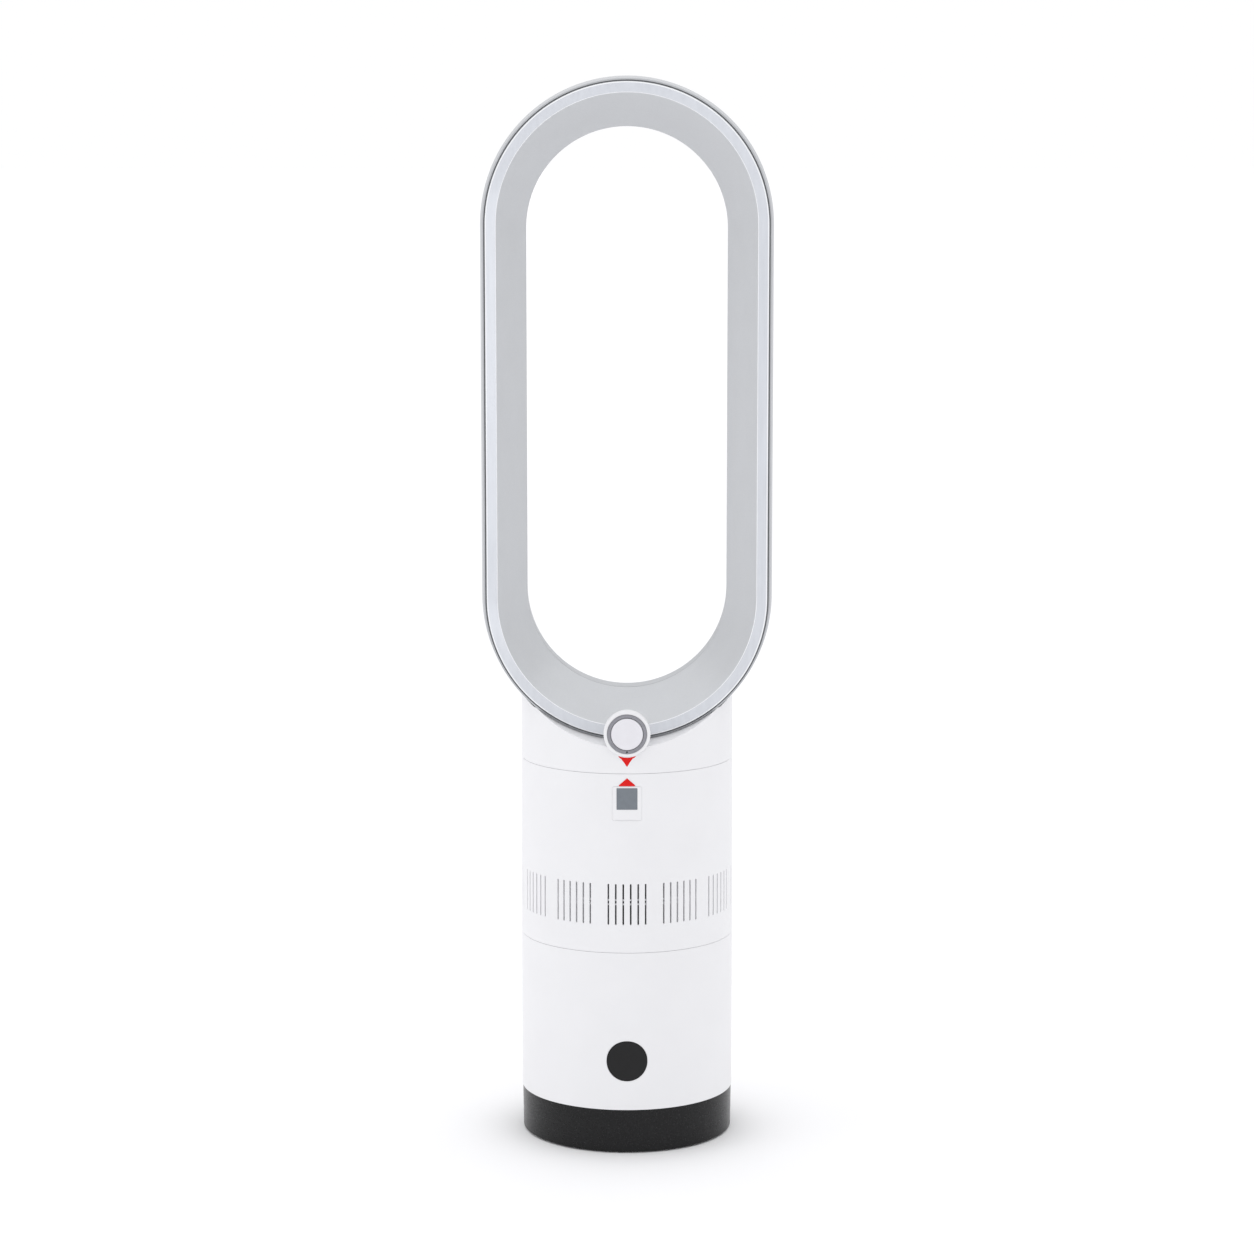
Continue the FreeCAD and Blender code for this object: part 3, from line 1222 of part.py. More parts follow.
def power_button():
    """The round power button with its bezel, metal trim ring, light, board, switch and spring."""
    hole = "button_radius + moving_gap - 0.1"
    blank = tube("bezel_blank", hole, "bezel_radius", "body_radius - 6", f"{FACE} + bezel_proud")
    recess = tube("bezel_recess", hole, "trim_radius",
                  f"{FACE} + trim_proud - trim_thick", f"{FACE} + trim_proud")
    node(cut("bezel", cut("bezel_body", blank, recess), neck_column("bezel_column", "0")), "button_bezel")
    trim_back = f"{FACE} + trim_proud - trim_thick"
    trim = tube("trim_blank", hole, "trim_radius", trim_back, f"{FACE} + trim_proud")
    light_height = f"button_height - (trim_radius + {hole}) / 2"
    light = rod("led", "led_radius", "trim_thick", ("0", f"-({trim_back})", light_height), "front")
    node(cut("trim", trim, light), "button_trim_ring")
    node(light, "status_light")
    face = rod("button_face", "button_radius", "button_thick",
               ("0", f"-({FACE} + button_proud - button_thick)", "button_height"), "front")
    stem_end = "pod_floor + board_thick + 4.6 + button_travel"
    stem = rod("button_stem", "stem_radius", f"{FACE} + button_proud - ({stem_end})",
               ("0", f"-({stem_end})", "button_height"), "front")
    node(fuse("button", [face, stem]), "power_button")
    board = rod("switch_card", "pod_bore", "board_thick", ("0", "-pod_floor", "button_height"), "front")
    switch = block("tact_switch", ("6", "3.4", "6"),
                   ("-3", "-pod_floor - board_thick - 3.4", "button_height - 3"))
    plunger = rod("plunger", "1.7", "1", ("0", "-pod_floor - board_thick - 3.4", "button_height"), "front")
    node(fuse("switch", [board, switch, plunger]), "switch_board")


def button_spring():
    """The square-wire coil spring that pushes the button out, between its face and the board."""
    wire, radius = value("spring_wire"), value("spring_radius")
    back = value("pod_floor + board_thick") + wire
    front = value(f"{FACE} + button_proud - button_thick") - wire
    pitch = (front - back) / value("spring_turns")
    path = Part.makeHelix(pitch, front - back, radius)
    sides = ((-1, -1), (1, -1), (1, 1), (-1, 1), (-1, -1))
    section = Part.makePolygon([FreeCAD.Vector(radius + x * wire, 0, z * wire) for x, z in sides])
    item = doc.addObject("Part::Feature", "spring_coil")
    item.Shape = Part.Wire(path).makePipeShell([section], True, True)
    item.Placement = FreeCAD.Placement(FreeCAD.Vector(0, -back, value("button_height")),
                                       FreeCAD.Rotation(FreeCAD.Vector(1, 0, 0), 90))
    node(item, "button_spring")


# ---------------------------------------------------------------- build, check and write

CUTS = ("PartDesign::Pocket", "PartDesign::Groove", "PartDesign::SubtractiveLoft")


def check_model():
    """Stop if a feature failed, a cut missed its solid or a sub-part isn't a valid solid."""
    for item in doc.Objects:
        if "Invalid" in item.State or "Error" in item.State:
            raise RuntimeError(f"{item.Name} is {item.State}")
        if item.TypeId in CUTS and item.Shape.Volume >= item.BaseFeature.Shape.Volume - 0.01:
            raise RuntimeError(f"{item.Name} cuts nothing")
    for item in NODES:
        if item.Shape.isNull() or not item.Shape.isValid() or not item.Shape.Solids:
            raise RuntimeError(f"{item.Label} isn't a valid solid")


def write_model():
    os.makedirs("parts", exist_ok=True)
    for item in NODES:
        item.Shape.exportStep(f"parts/{item.Label}.step")
        print(f"{item.Label:20s} {len(item.Shape.Solids):3d} solids {item.Shape.Volume / 1000:9.2f} cm3")


foot_ring()
foot_pads()
base_weight()
base_housing()
foot_screws()
sensor_window()
receiver_board()
power_board()
inlet_socket()
deck()
deck_screws()
glide_ring()
retaining_washer()
washer_screws()
swing_motor()
drive_pinion()
ring_gear()
swivel_plate()
pivot_bush()
motor_housing()
intake_screen()
duct_shroud()
impeller()
motor_shaft()
motor_rotor()
motor_stator()
motor_windings()
bearing("lower_bearing", BUCKET_LOW)
bearing("upper_bearing", BUCKET_TOP)
motor_bucket()
nose_cone()
mount_rings()
diffuser()
motor_board()
display()
lock_collar()
bayonet_ring()
neck_screws()
loop_rear_shell()
loop_front_shell()
seam_strip()
neck_housing()
port_gasket()
power_button()
button_spring()
doc.recompute()
check_model()
write_model()
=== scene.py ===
# %% [markdown]
# # A bladeless column fan, dressed around its CAD frame
# A drum-shaped foot carries a turning white column, and a tall air loop shaped like a running track
# sits in a cradle on top of it. The CAD model fixes every size, joint and hidden part. This lesson
# rebuilds the surfaces that people see with softly rounded edges, gives each one the finish of its
# real material, and lights the result like a catalogue picture.

# %% Load the frame
import json
import math

import bmesh
import bpy
import numpy as np
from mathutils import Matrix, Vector
from mathutils.geometry import delaunay_2d_cdt
from mathutils.kdtree import KDTree


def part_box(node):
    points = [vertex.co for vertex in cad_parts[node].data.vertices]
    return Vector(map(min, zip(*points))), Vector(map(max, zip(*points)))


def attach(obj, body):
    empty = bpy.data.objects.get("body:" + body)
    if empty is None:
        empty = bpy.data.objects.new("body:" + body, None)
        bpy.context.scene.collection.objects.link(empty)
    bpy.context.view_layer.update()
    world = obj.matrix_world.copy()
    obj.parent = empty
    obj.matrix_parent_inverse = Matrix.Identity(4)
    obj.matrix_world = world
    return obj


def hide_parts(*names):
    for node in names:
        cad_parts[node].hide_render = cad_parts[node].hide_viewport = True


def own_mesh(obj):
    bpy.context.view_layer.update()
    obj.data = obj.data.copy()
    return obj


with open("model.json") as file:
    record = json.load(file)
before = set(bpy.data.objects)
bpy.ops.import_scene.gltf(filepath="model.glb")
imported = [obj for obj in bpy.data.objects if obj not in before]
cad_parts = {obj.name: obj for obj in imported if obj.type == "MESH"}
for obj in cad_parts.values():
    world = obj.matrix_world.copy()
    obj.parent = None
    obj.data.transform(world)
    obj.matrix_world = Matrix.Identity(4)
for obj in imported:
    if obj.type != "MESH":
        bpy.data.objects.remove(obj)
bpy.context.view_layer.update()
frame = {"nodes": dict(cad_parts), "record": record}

MM = 0.001
SLOT_OF = {part["node"]: part["material_slot"] for part in frame["record"]["subparts"]}

# %% [markdown]
# ## Colours and shader nodes
# Paint and plastic colours are usually picked as sRGB hex values, but light adds up in linear
# numbers, so one function turns one into the other. A second function adds any shader node with its
# settings and links, which keeps each material down to the few lines that make it different.

# %% Colour and node helpers
def tone(hex_code):
    """A linear colour with full alpha from an sRGB hex value such as E3E3E5."""
    shares = [int(hex_code[i:i + 2], 16) / 255 for i in (0, 2, 4)]
    linear = [c / 12.92 if c <= 0.04045 else ((c + 0.055) / 1.055) ** 2.4 for c in shares]
    return (*linear, 1.0)


def add(tree, kind, links=(), **settings):
    """Add a node. Links give each input, by name or number, a value or another node's output."""
    made = tree.nodes.new(kind)
    for setting, choice in settings.items():
        setattr(made, setting, choice)
    for socket, given in dict(links).items():
        if isinstance(given, bpy.types.NodeSocket):
            tree.links.new(given, made.inputs[socket])
        else:
            made.inputs[socket].default_value = given
    return made


print("E3E3E5 in linear light is", [round(c, 3) for c in tone("E3E3E5")])

# %% [markdown]
# ## One recipe for mottled surfaces
# No moulded, cast or painted part is one flat colour. The tool's spark-eroded skin, the flow of the
# melt and the spray of the paint all leave blotches of some real size. They could be painted by
# hand, but a noise texture in object coordinates gives them at a stated size in millimetres on
# every piece, with no seams and no unwrapping. The same noise drives colour, roughness and relief,
# because on a real surface these change together.

# %% The mottled surface
BLEND_A, BLEND_B = 6, 7
NOISE_DETAIL = 3.0


def mottled(name, tones, shine, size, relief=0.0, stretch=(1, 1, 1), **shader_sockets):
    """A surface between two tones and two roughnesses, with blotches and relief sized in mm."""
    material = bpy.data.materials.new(name)
    material.use_nodes = True
    tree = material.node_tree
    tree.nodes.clear()
    shader = add(tree, "ShaderNodeBsdfPrincipled", shader_sockets)
    add(tree, "ShaderNodeOutputMaterial", {"Surface": shader.outputs["BSDF"]})
    spot = add(tree, "ShaderNodeTexCoord").outputs["Object"]
    spread = add(tree, "ShaderNodeMapping", {"Vector": spot, "Scale": [1 / s for s in stretch]})
    noise = add(tree, "ShaderNodeTexNoise",
                {"Vector": spread.outputs[0], "Scale": 1 / (size * MM), "Detail": NOISE_DETAIL})
    blend = add(tree, "ShaderNodeMix",
                {"Factor": noise.outputs[0], BLEND_A: tone(tones[0]), BLEND_B: tone(tones[1])},
                data_type="RGBA")
    rough = add(tree, "ShaderNodeMapRange",
                {"Value": noise.outputs[0], "To Min": shine[0], "To Max": shine[1]})
    tree.links.new(blend.outputs[2], shader.inputs["Base Color"])
    tree.links.new(rough.outputs[0], shader.inputs["Roughness"])
    if relief:
        bump = add(tree, "ShaderNodeBump", {"Height": noise.outputs[0], "Distance": relief * MM})
        tree.links.new(bump.outputs[0], shader.inputs["Normal"])
    return material


def parts_of(material):
    """The tree, the shader, the object coordinates and the colour that the shader has now."""
    tree = material.node_tree
    kinds = {node.bl_idname: node for node in tree.nodes}
    shader = kinds["ShaderNodeBsdfPrincipled"]
    spot = kinds["ShaderNodeTexCoord"].outputs["Object"]
    return tree, shader, spot, shader.inputs["Base Color"].links[0].from_socket


def overlay(material, mask, shade):
    """Lay one more tone over a material where a mask is white."""
    tree, shader, _, under = parts_of(material)
    over = add(tree, "ShaderNodeMix", {"Factor": mask, BLEND_A: under, BLEND_B: tone(shade)},
               data_type="RGBA")
    tree.links.new(over.outputs[2], shader.inputs["Base Color"])
    return material


# %% [markdown]
# ## The moulded plastics
# The housings are injection-moulded ABS. The white shells come out of a finely polished tool, so
# they shine softly and show only a breath of variation. The foot is the same plastic in black with
# a satin skin: what the eye reads there is the pale room mirrored in it, so its own colour is
# almost nothing. Typical ABS has an IOR of 1.54, and the foot's is a little lower so that it
# mirrors less. Real spark-eroded grain is about 0.05 mm, far too fine to show from three metres, so
# the blotches are drawn much coarser: 0.8 mm on the mains socket, 2 mm on the foot and 45 mm on the
# shells.

# %% Plastics
WHITE_ABS = mottled("white_moulded_abs", ("E3E3E5", "E8E8EA"), (0.36, 0.44), 45,
                    IOR=1.54, **{"Specular IOR Level": 0.3})
BLACK_ABS = mottled("satin_black_moulded_abs", ("0C0C0D", "141415"), (0.24, 0.32), 2, 0.01,
                    IOR=1.46, **{"Specular IOR Level": 0.3})
GREY_ABS = mottled("grey_moulded_abs", ("A9ABAD", "B6B8BA"), (0.42, 0.55), 6, 0.01, IOR=1.54)
NYLON = mottled("natural_moulded_nylon", ("DAD9D3", "E4E3DE"), (0.38, 0.5), 3, 0.01, IOR=1.53)
RUBBER = mottled("moulded_black_rubber", ("17171A", "232326"), (0.7, 0.85), 1.5, 0.03, IOR=1.52)
SEAL = mottled("foamed_dark_seal", ("4F5154", "5F6164"), (0.6, 0.8), 1.2, 0.02, IOR=1.5)
IR_WINDOW = mottled("infrared_pass_acrylic", ("151516", "1A1A1B"), (0.28, 0.36), 4,
                    IOR=1.49, **{"Specular IOR Level": 0.25})
BUTTON = mottled("satin_moulded_button_abs", ("DCDBE0", "E2E1E6"), (0.4, 0.48), 8, IOR=1.54)
SOCKET = mottled("black_glass_filled_nylon", ("151517", "222225"), (0.5, 0.65), 0.8, 0.02, IOR=1.53)
LENS = mottled("smoked_light_pipe", ("121318", "1C1D22"), (0.12, 0.2), 1, IOR=1.49)
print("plastics:", len(bpy.data.materials))

# %% [markdown]
# ## The painted loop
# The loop's casings are ABS sprayed with silver paint: thin aluminium flakes in a clear binder. A
# flake is about 0.03 mm, and cells of 0.9 mm stand for clusters of them. Each cell takes its own
# lightness, which breaks the reflection up into a quiet shimmer. The bevelled rim is a brighter,
# bluish pearl coat with faint upright streaks from polishing, so it gets a stretched noise instead.
# The bevel's two edges are coloured almost white as a painted highlight.

# %% Silver and pearl paints
def flaked(name, tones, shine, strength, **shader_sockets):
    """Sprayed paint whose metal flakes lighten single cells by different amounts."""
    material = mottled(name, tones, shine, 30, IOR=1.5, **shader_sockets)
    tree, _, spot, _ = parts_of(material)
    flake_cell = 0.9
    flakes = add(tree, "ShaderNodeTexVoronoi", {"Vector": spot, "Scale": 1 / (flake_cell * MM)})
    grey = add(tree, "ShaderNodeRGBToBW", {"Color": flakes.outputs["Color"]})
    faint = add(tree, "ShaderNodeMath", {0: grey.outputs[0], 1: strength}, operation="MULTIPLY")
    return overlay(material, faint.outputs[0], "FFFFFF")


SILVER = flaked("silver_flake_paint_on_abs", ("BCBEC1", "C5C7CA"), (0.34, 0.42), 0.05,
                Metallic=0.35)
CASING_SILVER = flaked("pale_silver_paint_on_abs", ("B2B4B7", "BCBEC1"), (0.42, 0.5), 0.05,
                       Metallic=0.1, **{"Specular IOR Level": 0.25})
PEARL = mottled("polished_pearl_rim_coat", ("C8CBD1", "D8DBE1"), (0.16, 0.26), 4,
                stretch=(1, 1, 9), IOR=1.5, Metallic=0.45, **{"Coat Weight": 0.5})
# The near-white colour of the bevel's two edges is a painted highlight.
RIM_EDGE_PAINTED_HIGHLIGHT = mottled("rim_edge_painted_highlight", ("EEF0F3", "F6F7F9"), (0.1, 0.18), 3,
                        IOR=1.5, Metallic=0.2)
RED_INK = mottled("red_screen_print_ink", ("D00E0C", "DC1815"), (0.35, 0.45), 1.5,
                  IOR=1.5, **{"Specular IOR Level": 0.2})

# %% [markdown]
# ## Metals inside and round the button
# The steel parts are zinc plated, turned or ground. Plating leaves crystals a millimetre or so
# across, and turning leaves fine lines round the part. Lines of 0.05 mm would vanish, so they are
# drawn 0.4 mm apart. A metal's colour is its reflection, so Metallic is 1 and the IOR stays alone.

# %% Metals
ZINC = mottled("zinc_plated_steel", ("A9A9A4", "C2C2BD"), (0.3, 0.45), 1.4, 0.005, Metallic=1.0)
BRIGHT = mottled("turned_bright_steel", ("86868C", "9A9AA0"), (0.22, 0.36), 0.4,
                 stretch=(6, 1, 6), Metallic=1.0)
IRON = mottled("sand_cast_iron", ("3A3A3B", "4C4B4A"), (0.6, 0.8), 2.5, 0.15, Metallic=0.6)
BRASS = mottled("plated_brass_pins", ("D1B363", "DDC079"), (0.2, 0.3), 0.8, Metallic=1.0)


def striped(material, spacing, shade, direction):
    """Lay evenly spaced dark lines over a material, such as stacked sheets or wound wire."""
    tree, _, spot, _ = parts_of(material)
    wave_step = 2 * math.pi / 20
    line_start, line_full, line_strength = 0.55, 0.95, 0.7
    lines = add(tree, "ShaderNodeTexWave", {"Vector": spot, "Scale": wave_step / (spacing * MM)},
                bands_direction=direction)
    sharp = add(tree, "ShaderNodeMapRange",
                {"Value": lines.outputs[1], "From Min": line_start, "From Max": line_full,
                 "To Max": line_strength})
    return overlay(material, sharp.outputs[0], shade)


# Motor sheets are 0.5 mm thick, and the winding wire is 0.4 mm across: both show as fine lines.
CORE = striped(mottled("stacked_motor_steel", ("6E6E70", "7C7C7E"), (0.35, 0.5), 3, Metallic=1.0),
               0.5, "2E2E30", "Z")
COPPER = striped(mottled("enamelled_copper_wire", ("B5683C", "C77A4B"), (0.25, 0.35), 1,
                         Metallic=1.0), 0.4, "5E2F18", "X")

# %% [markdown]
# ## Circuit boards, the dust screen and the display
# A board is green solder mask over copper tracks. The screen behind the slits is woven from black
# polymer thread: two sets of lines crossed at right angles, 1.2 mm apart here for a real 0.4 mm
# weave. The display is a tinted window that is off, so only a hint of the unlit segments under it
# shows, as a soft change of grey about 3 mm wide.

# %% Boards, screen and display
BOARD = striped(mottled("green_solder_mask", ("14532F", "1B6338"), (0.3, 0.45), 4, IOR=1.55),
                2.5, "0E3A20", "DIAGONAL")
THREAD_SPACING, THREAD_SHADE = 1.2, "141415"
SCREEN = mottled("woven_dust_screen", ("18181A", "232325"), (0.6, 0.75), 3, IOR=1.5)
for thread_direction in ("Z", "X"):
    striped(SCREEN, THREAD_SPACING, THREAD_SHADE, thread_direction)
DISPLAY = mottled("tinted_display_window", ("6B7178", "757C83"), (0.18, 0.26), 3, IOR=1.49)

FINISHES = {
    "black_abs": BLACK_ABS, "white_abs": WHITE_ABS, "silver_paint": SILVER,
    "pearl_paint": CASING_SILVER, "dark_seal": SEAL, "rubber": RUBBER, "cast_iron": IRON,
    "window_plastic": IR_WINDOW, "display_tint": DISPLAY, "circuit_board": BOARD,
    "electronics": SOCKET, "grey_nylon": NYLON, "zinc_steel": ZINC, "bright_steel": BRIGHT,
    "brass_pins": BRASS, "motor_core": CORE, "copper_wire": COPPER, "grey_abs": GREY_ABS,
    "screen_mesh": SCREEN, "button_plastic": BUTTON, "led_lens": LENS}
print("finishes:", len(FINISHES), "for", len(set(SLOT_OF.values())), "slots")

# %% [markdown]
# ## From an outline to a rounded outline
# Every moulded edge has a radius: 0.3 mm where the tool is split, more where a hand may touch. A
# bevel modifier could add them later, but it picks edges by angle and trips over small holes. Here
# each outline states a radius at every corner, and the arc's own normals go into the mesh, so a
# flat stays perfectly flat beside its rounded edge.

# %% Rounded outlines
def rounded(corners, bends=5):
    """A closed outline, counter-clockwise, from (across, up, radius) corners in mm, with normals.

    An arc takes less than half of each side that it touches.
    """
    side_share = 0.49
    spots = [Vector(corner[:2]) for corner in corners]
    after = spots[1:] + spots[:1]
    if sum(a.x * b.y - b.x * a.y for a, b in zip(spots, after)) < 0:
        corners = corners[::-1]
        spots = spots[::-1]
    count = len(spots)
    outline = []
    for i, here in enumerate(spots):
        back, onward = spots[i - 1] - here, spots[(i + 1) % count] - here
        before_normal = Vector((-back.y, back.x)).normalized()
        after_normal = Vector((onward.y, -onward.x)).normalized()
        radius = corners[i][2]
        if here.x == 0:
            outline.append((*here, 0, 1 if spots[(i + 1) % count].x == 0 else -1))
        elif radius == 0:
            outline.append((*here, *(before_normal + after_normal).normalized()))
        else:
            half = back.angle(onward) / 2
            reach = min(radius / math.tan(half), side_share * back.length,
                        side_share * onward.length)
            radius = reach * math.tan(half)
            turn = before_normal.angle(after_normal)
            convex = -back.x * onward.y + back.y * onward.x > 0
            side = 1 if convex else -1
            centre = here + back.normalized() * reach - before_normal * radius * side
            for k in range(bends + 1):
                swing = side * turn * k / bends
                cos, sin = math.cos(swing), math.sin(swing)
                normal = Vector((before_normal.x * cos - before_normal.y * sin,
                                 before_normal.x * sin + before_normal.y * cos))
                outline.append((*(centre + normal * radius * side), *normal))
    return outline


def rounded_box(x_low, x_high, y_low, y_high, radius, bends=5):
    """A rounded rectangle as an outline in mm."""
    return rounded([(x_low, y_low, radius), (x_high, y_low, radius),
                    (x_high, y_high, radius), (x_low, y_high, radius)], bends)


print("a rounded square has", len(rounded_box(-1, 1, -1, 1, 0.3)), "points")

# %% [markdown]
# ## Sweeping an outline
# Most of the fan is turned or swept: the foot, the ring round the button and the long casings of
# the loop are one cross-section carried round a closed path. A path is a list of stations. Each has
# a centre, the direction that points away from it, and the direction along which the part is deep.
# The curve tools could do it too, but with our own sweep the arcs and the straights meet exactly,
# and the air throat can sit a little lower inside the top arc than its outer skin does.

# %% Sweep and stations
UP = Vector((0, 0, 1))
BACKWARD = Vector((0, 1, 0))


def upright_stations(steps=180):
    """Stations round the column's own axis, starting at the front."""
    angles = [2 * math.pi * k / steps for k in range(steps)]
    return [(Vector(), Vector((math.sin(a), -math.cos(a), 0)), UP, 0) for a in angles]


def facing_stations(height, steps=96):
    """Stations round an axis that runs from front to back at a height, in mm."""
    angles = [2 * math.pi * k / steps for k in range(steps)]
    return [(UP * height, Vector((math.cos(a), 0, math.sin(a))), BACKWARD, 0) for a in angles]


def sweep(outline, stations, sink=lambda across: 0):
    """Points, faces and normals of an outline carried round closed stations."""
    points, normals, faces = [], [], []
    count, total = len(outline), len(stations) * len(outline)
    for centre, out, along, share in stations:
        for across, deep, normal_across, normal_deep in outline:
            points.append(centre + out * across + along * deep - UP * sink(across) * share)
            normals.append(out * normal_across + along * normal_deep)
    for first in range(0, total, count):
        following = (first + count) % total
        for i in range(count):
            j = (i + 1) % count
            faces.append((first + i, first + j, following + j, following + i))
    return points, faces, normals


# %% [markdown]
# ## Turning points into pieces
# Parts of a shape are made one after another and share points where they meet. Welding equal points
# closes the surface, and a closed surface is what a printer, a physics engine and a reader all
# expect. Each finished piece then says which body it rides on, which CAD parts it stands for and
# which finish it has.

# %% The piece maker
def joined(*shapes):
    """Several (points, faces, normals) as one."""
    points, faces, normals = [], [], []
    for more_points, more_faces, more_normals in shapes:
        start = len(points)
        points += [Vector(p) for p in more_points]
        normals += [Vector(n) for n in more_normals]
        faces += [tuple(start + i for i in face) for face in more_faces]
    return points, faces, normals


def welded(points, faces, normals):
    """Points closer than a thousandth of a mm become one, and faces that lose their area go."""
    weld_reach = 1e-3
    tree = KDTree(len(points))
    for i, point in enumerate(points):
        tree.insert(point, i)
    tree.balance()
    first, index = [], []
    for i, point in enumerate(points):
        nearest = min(found for _, found, _ in tree.find_range(point, weld_reach))
        if nearest == i:
            first.append(i)
            index.append(len(first) - 1)
        else:
            index.append(index[nearest])
    kept = []
    for face in faces:
        ring = [index[i] for i in face]
        ring = [v for k, v in enumerate(ring) if v != ring[k - 1]]
        if len(ring) > 2 and len(set(ring)) == len(ring):
            kept.append(ring)
    return [points[i] for i in first], kept, [normals[i] for i in first]


def piece(name, shape, body, stands_for=(), finish=None, tint=None):
    """A mesh object from a shape in mm. A tint is more finishes and a rule that picks a face's."""
    points, faces, normals = welded(*shape)
    mesh = bpy.data.meshes.new(name)
    mesh.from_pydata([p * MM for p in points], [], faces)
    solid = bmesh.new()
    solid.from_mesh(mesh)
    bmesh.ops.recalc_face_normals(solid, faces=solid.faces)
    loose = sum(1 for edge in solid.edges if len(edge.link_faces) != 2)
    solid.to_mesh(mesh)
    solid.free()
    mesh.shade_smooth()
    mesh.normals_split_custom_set_from_vertices([n.normalized() for n in normals])
    made = bpy.data.objects.new(name, mesh)
    bpy.context.scene.collection.objects.link(made)
    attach(made, body)
    if stands_for:
        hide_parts(*stands_for)
    mesh.materials.append(finish or FINISHES[SLOT_OF[stands_for[0]]])
    if tint:
        more_finishes, rule = tint
        for extra in more_finishes:
            mesh.materials.append(extra)
        for face in mesh.polygons:
            face.material_index = rule(face.center / MM)
    print(f"{name}: {len(mesh.vertices)} points, {len(mesh.polygons)} faces, {loose} open edges")
    return made


# %% [markdown]
# ## Sheets with holes, wrapped round the column
# The housings are thin walls pierced by 72 slits, a round window, the display and the mains inlet.
# Boolean cuts would work, but they leave sharp rims and long thin triangles. Instead the wall is
# laid out flat, as a label is before it goes round a tin: a grid of points, plus the outline of
# each hole, joined by a Delaunay triangulation. The flat sheet is then wrapped twice, once for each
# side of the wall, and every rim gets a rounded lip.

# %% Flat sheets
def encloses(loop, spots):
    """Which of the spots lie inside a closed loop, by counting the edges to the right of each."""
    ends = np.array([p[:2] for p in loop])
    starts = np.roll(ends, 1, axis=0)
    x, y = spots[:, None, 0], spots[:, None, 1]
    crosses = (starts[:, 1] > y) != (ends[:, 1] > y)
    run = (ends[:, 0] - starts[:, 0]) * (y - starts[:, 1])
    at = run / (ends[:, 1] - starts[:, 1] + 1e-12) + starts[:, 0]
    return (crosses & (x < at)).sum(axis=1) % 2 == 1


def set_back(loop, distance):
    """A loop moved along its normals."""
    return [(x + nx * distance, y + ny * distance, nx, ny) for x, y, nx, ny in loop]


def rim(loop, side, edge, wall, closed=True):
    """The lip round a hole (side 1) or a border (side -1), as (along, up, depth, normal) points."""
    steps = 4
    profile = []
    for k in range(steps + 1):
        a = math.pi / 2 * k / steps
        cos, sin = math.cos(a), math.sin(a)
        profile.append((edge * (1 - sin), edge * (1 - cos), -sin, cos))
    profile += [(back, wall - deep, out, -up) for back, deep, out, up in reversed(profile)]
    points, faces = [], []
    for x, y, nx, ny in loop:
        for back, deep, out, up in profile:
            points.append((x + side * nx * back, y + side * ny * back, deep,
                           side * nx * out, side * ny * out, up))
    count, rows = len(profile), len(loop)
    for i in range(rows if closed else rows - 1):
        j = (i + 1) % rows
        for k in range(count - 1):
            faces.append((i * count + k, j * count + k, j * count + k + 1, i * count + k + 1))
    return points, faces


def sheet(grid, holes, border, ends, edge, wall, wrap):
    """A wall with holes: a grid or a border laid flat, triangulated, then wrapped on both sides."""
    flat_loops = [set_back(hole, edge) for hole in holes]
    if border:
        flat_loops.append(set_back(border, -edge))
    spots, edges = [Vector(p) for p in grid], []
    for loop in flat_loops:
        start, count = len(spots), len(loop)
        spots += [Vector(p[:2]) for p in loop]
        edges += [(start + i, start + (i + 1) % count) for i in range(count)]
    same_spot = 1e-5
    found, _, triangles, *_ = delaunay_2d_cdt(spots, edges, [], 0, same_spot)
    places = np.array([p[:2] for p in found])
    middles = np.array([places[list(t)].mean(axis=0) for t in triangles])
    keep = np.ones(len(triangles), bool)
    for loop in flat_loops[:len(holes)]:
        keep &= ~encloses(loop, middles)
    if border:
        keep &= encloses(flat_loops[-1], middles)
    used = [triangle for triangle, wanted in zip(triangles, keep) if wanted]
    shapes = []
    for depth, up in ((0, 1), (wall, -1)):
        shapes.append(([wrap(x, y, depth) for x, y in places], used,
                       [wrap.turn(x, y, (0, 0, up)) for x, y in places]))
    lips = [rim(hole, 1, edge, wall) for hole in holes]
    lips += [rim(border, -1, edge, wall)] if border else []
    lips += [rim(line, -1, edge, wall, closed=False) for line in ends]
    for points, faces in lips:
        shapes.append(([wrap(*p[:3]) for p in points], faces,
                       [wrap.turn(p[0], p[1], p[3:]) for p in points]))
    return joined(*shapes)


class Wrap:
    """Rolls a flat sheet round the column: along is measured in mm of arc from the front."""

    def __init__(self, radius, taper=0.0, low=0.0):
        self.radius, self.taper, self.low = radius, taper, low

    def __call__(self, along, up, depth):
        angle = along / self.radius
        reach = self.radius - self.taper * (up - self.low) - depth
        return Vector((reach * math.sin(angle), -reach * math.cos(angle), up))

    def turn(self, along, up, normal):
        angle = along / self.radius
        side, out = Vector((math.cos(angle), math.sin(angle), 0)), self(along, up, 0)
        outward = Vector((out.x, out.y, 0)).normalized()
        return side * normal[0] + UP * normal[1] + outward * normal[2]


class Flat:
    """Leaves a sheet flat, facing the back of the fan at a depth."""

    def __init__(self, face):
        self.face = face

    def __call__(self, along, up, depth):
        return Vector((along, self.face - depth, up))

    def turn(self, along, up, normal):
        return Vector((normal[0], normal[2], normal[1]))


SEAM_DEGREES = 105


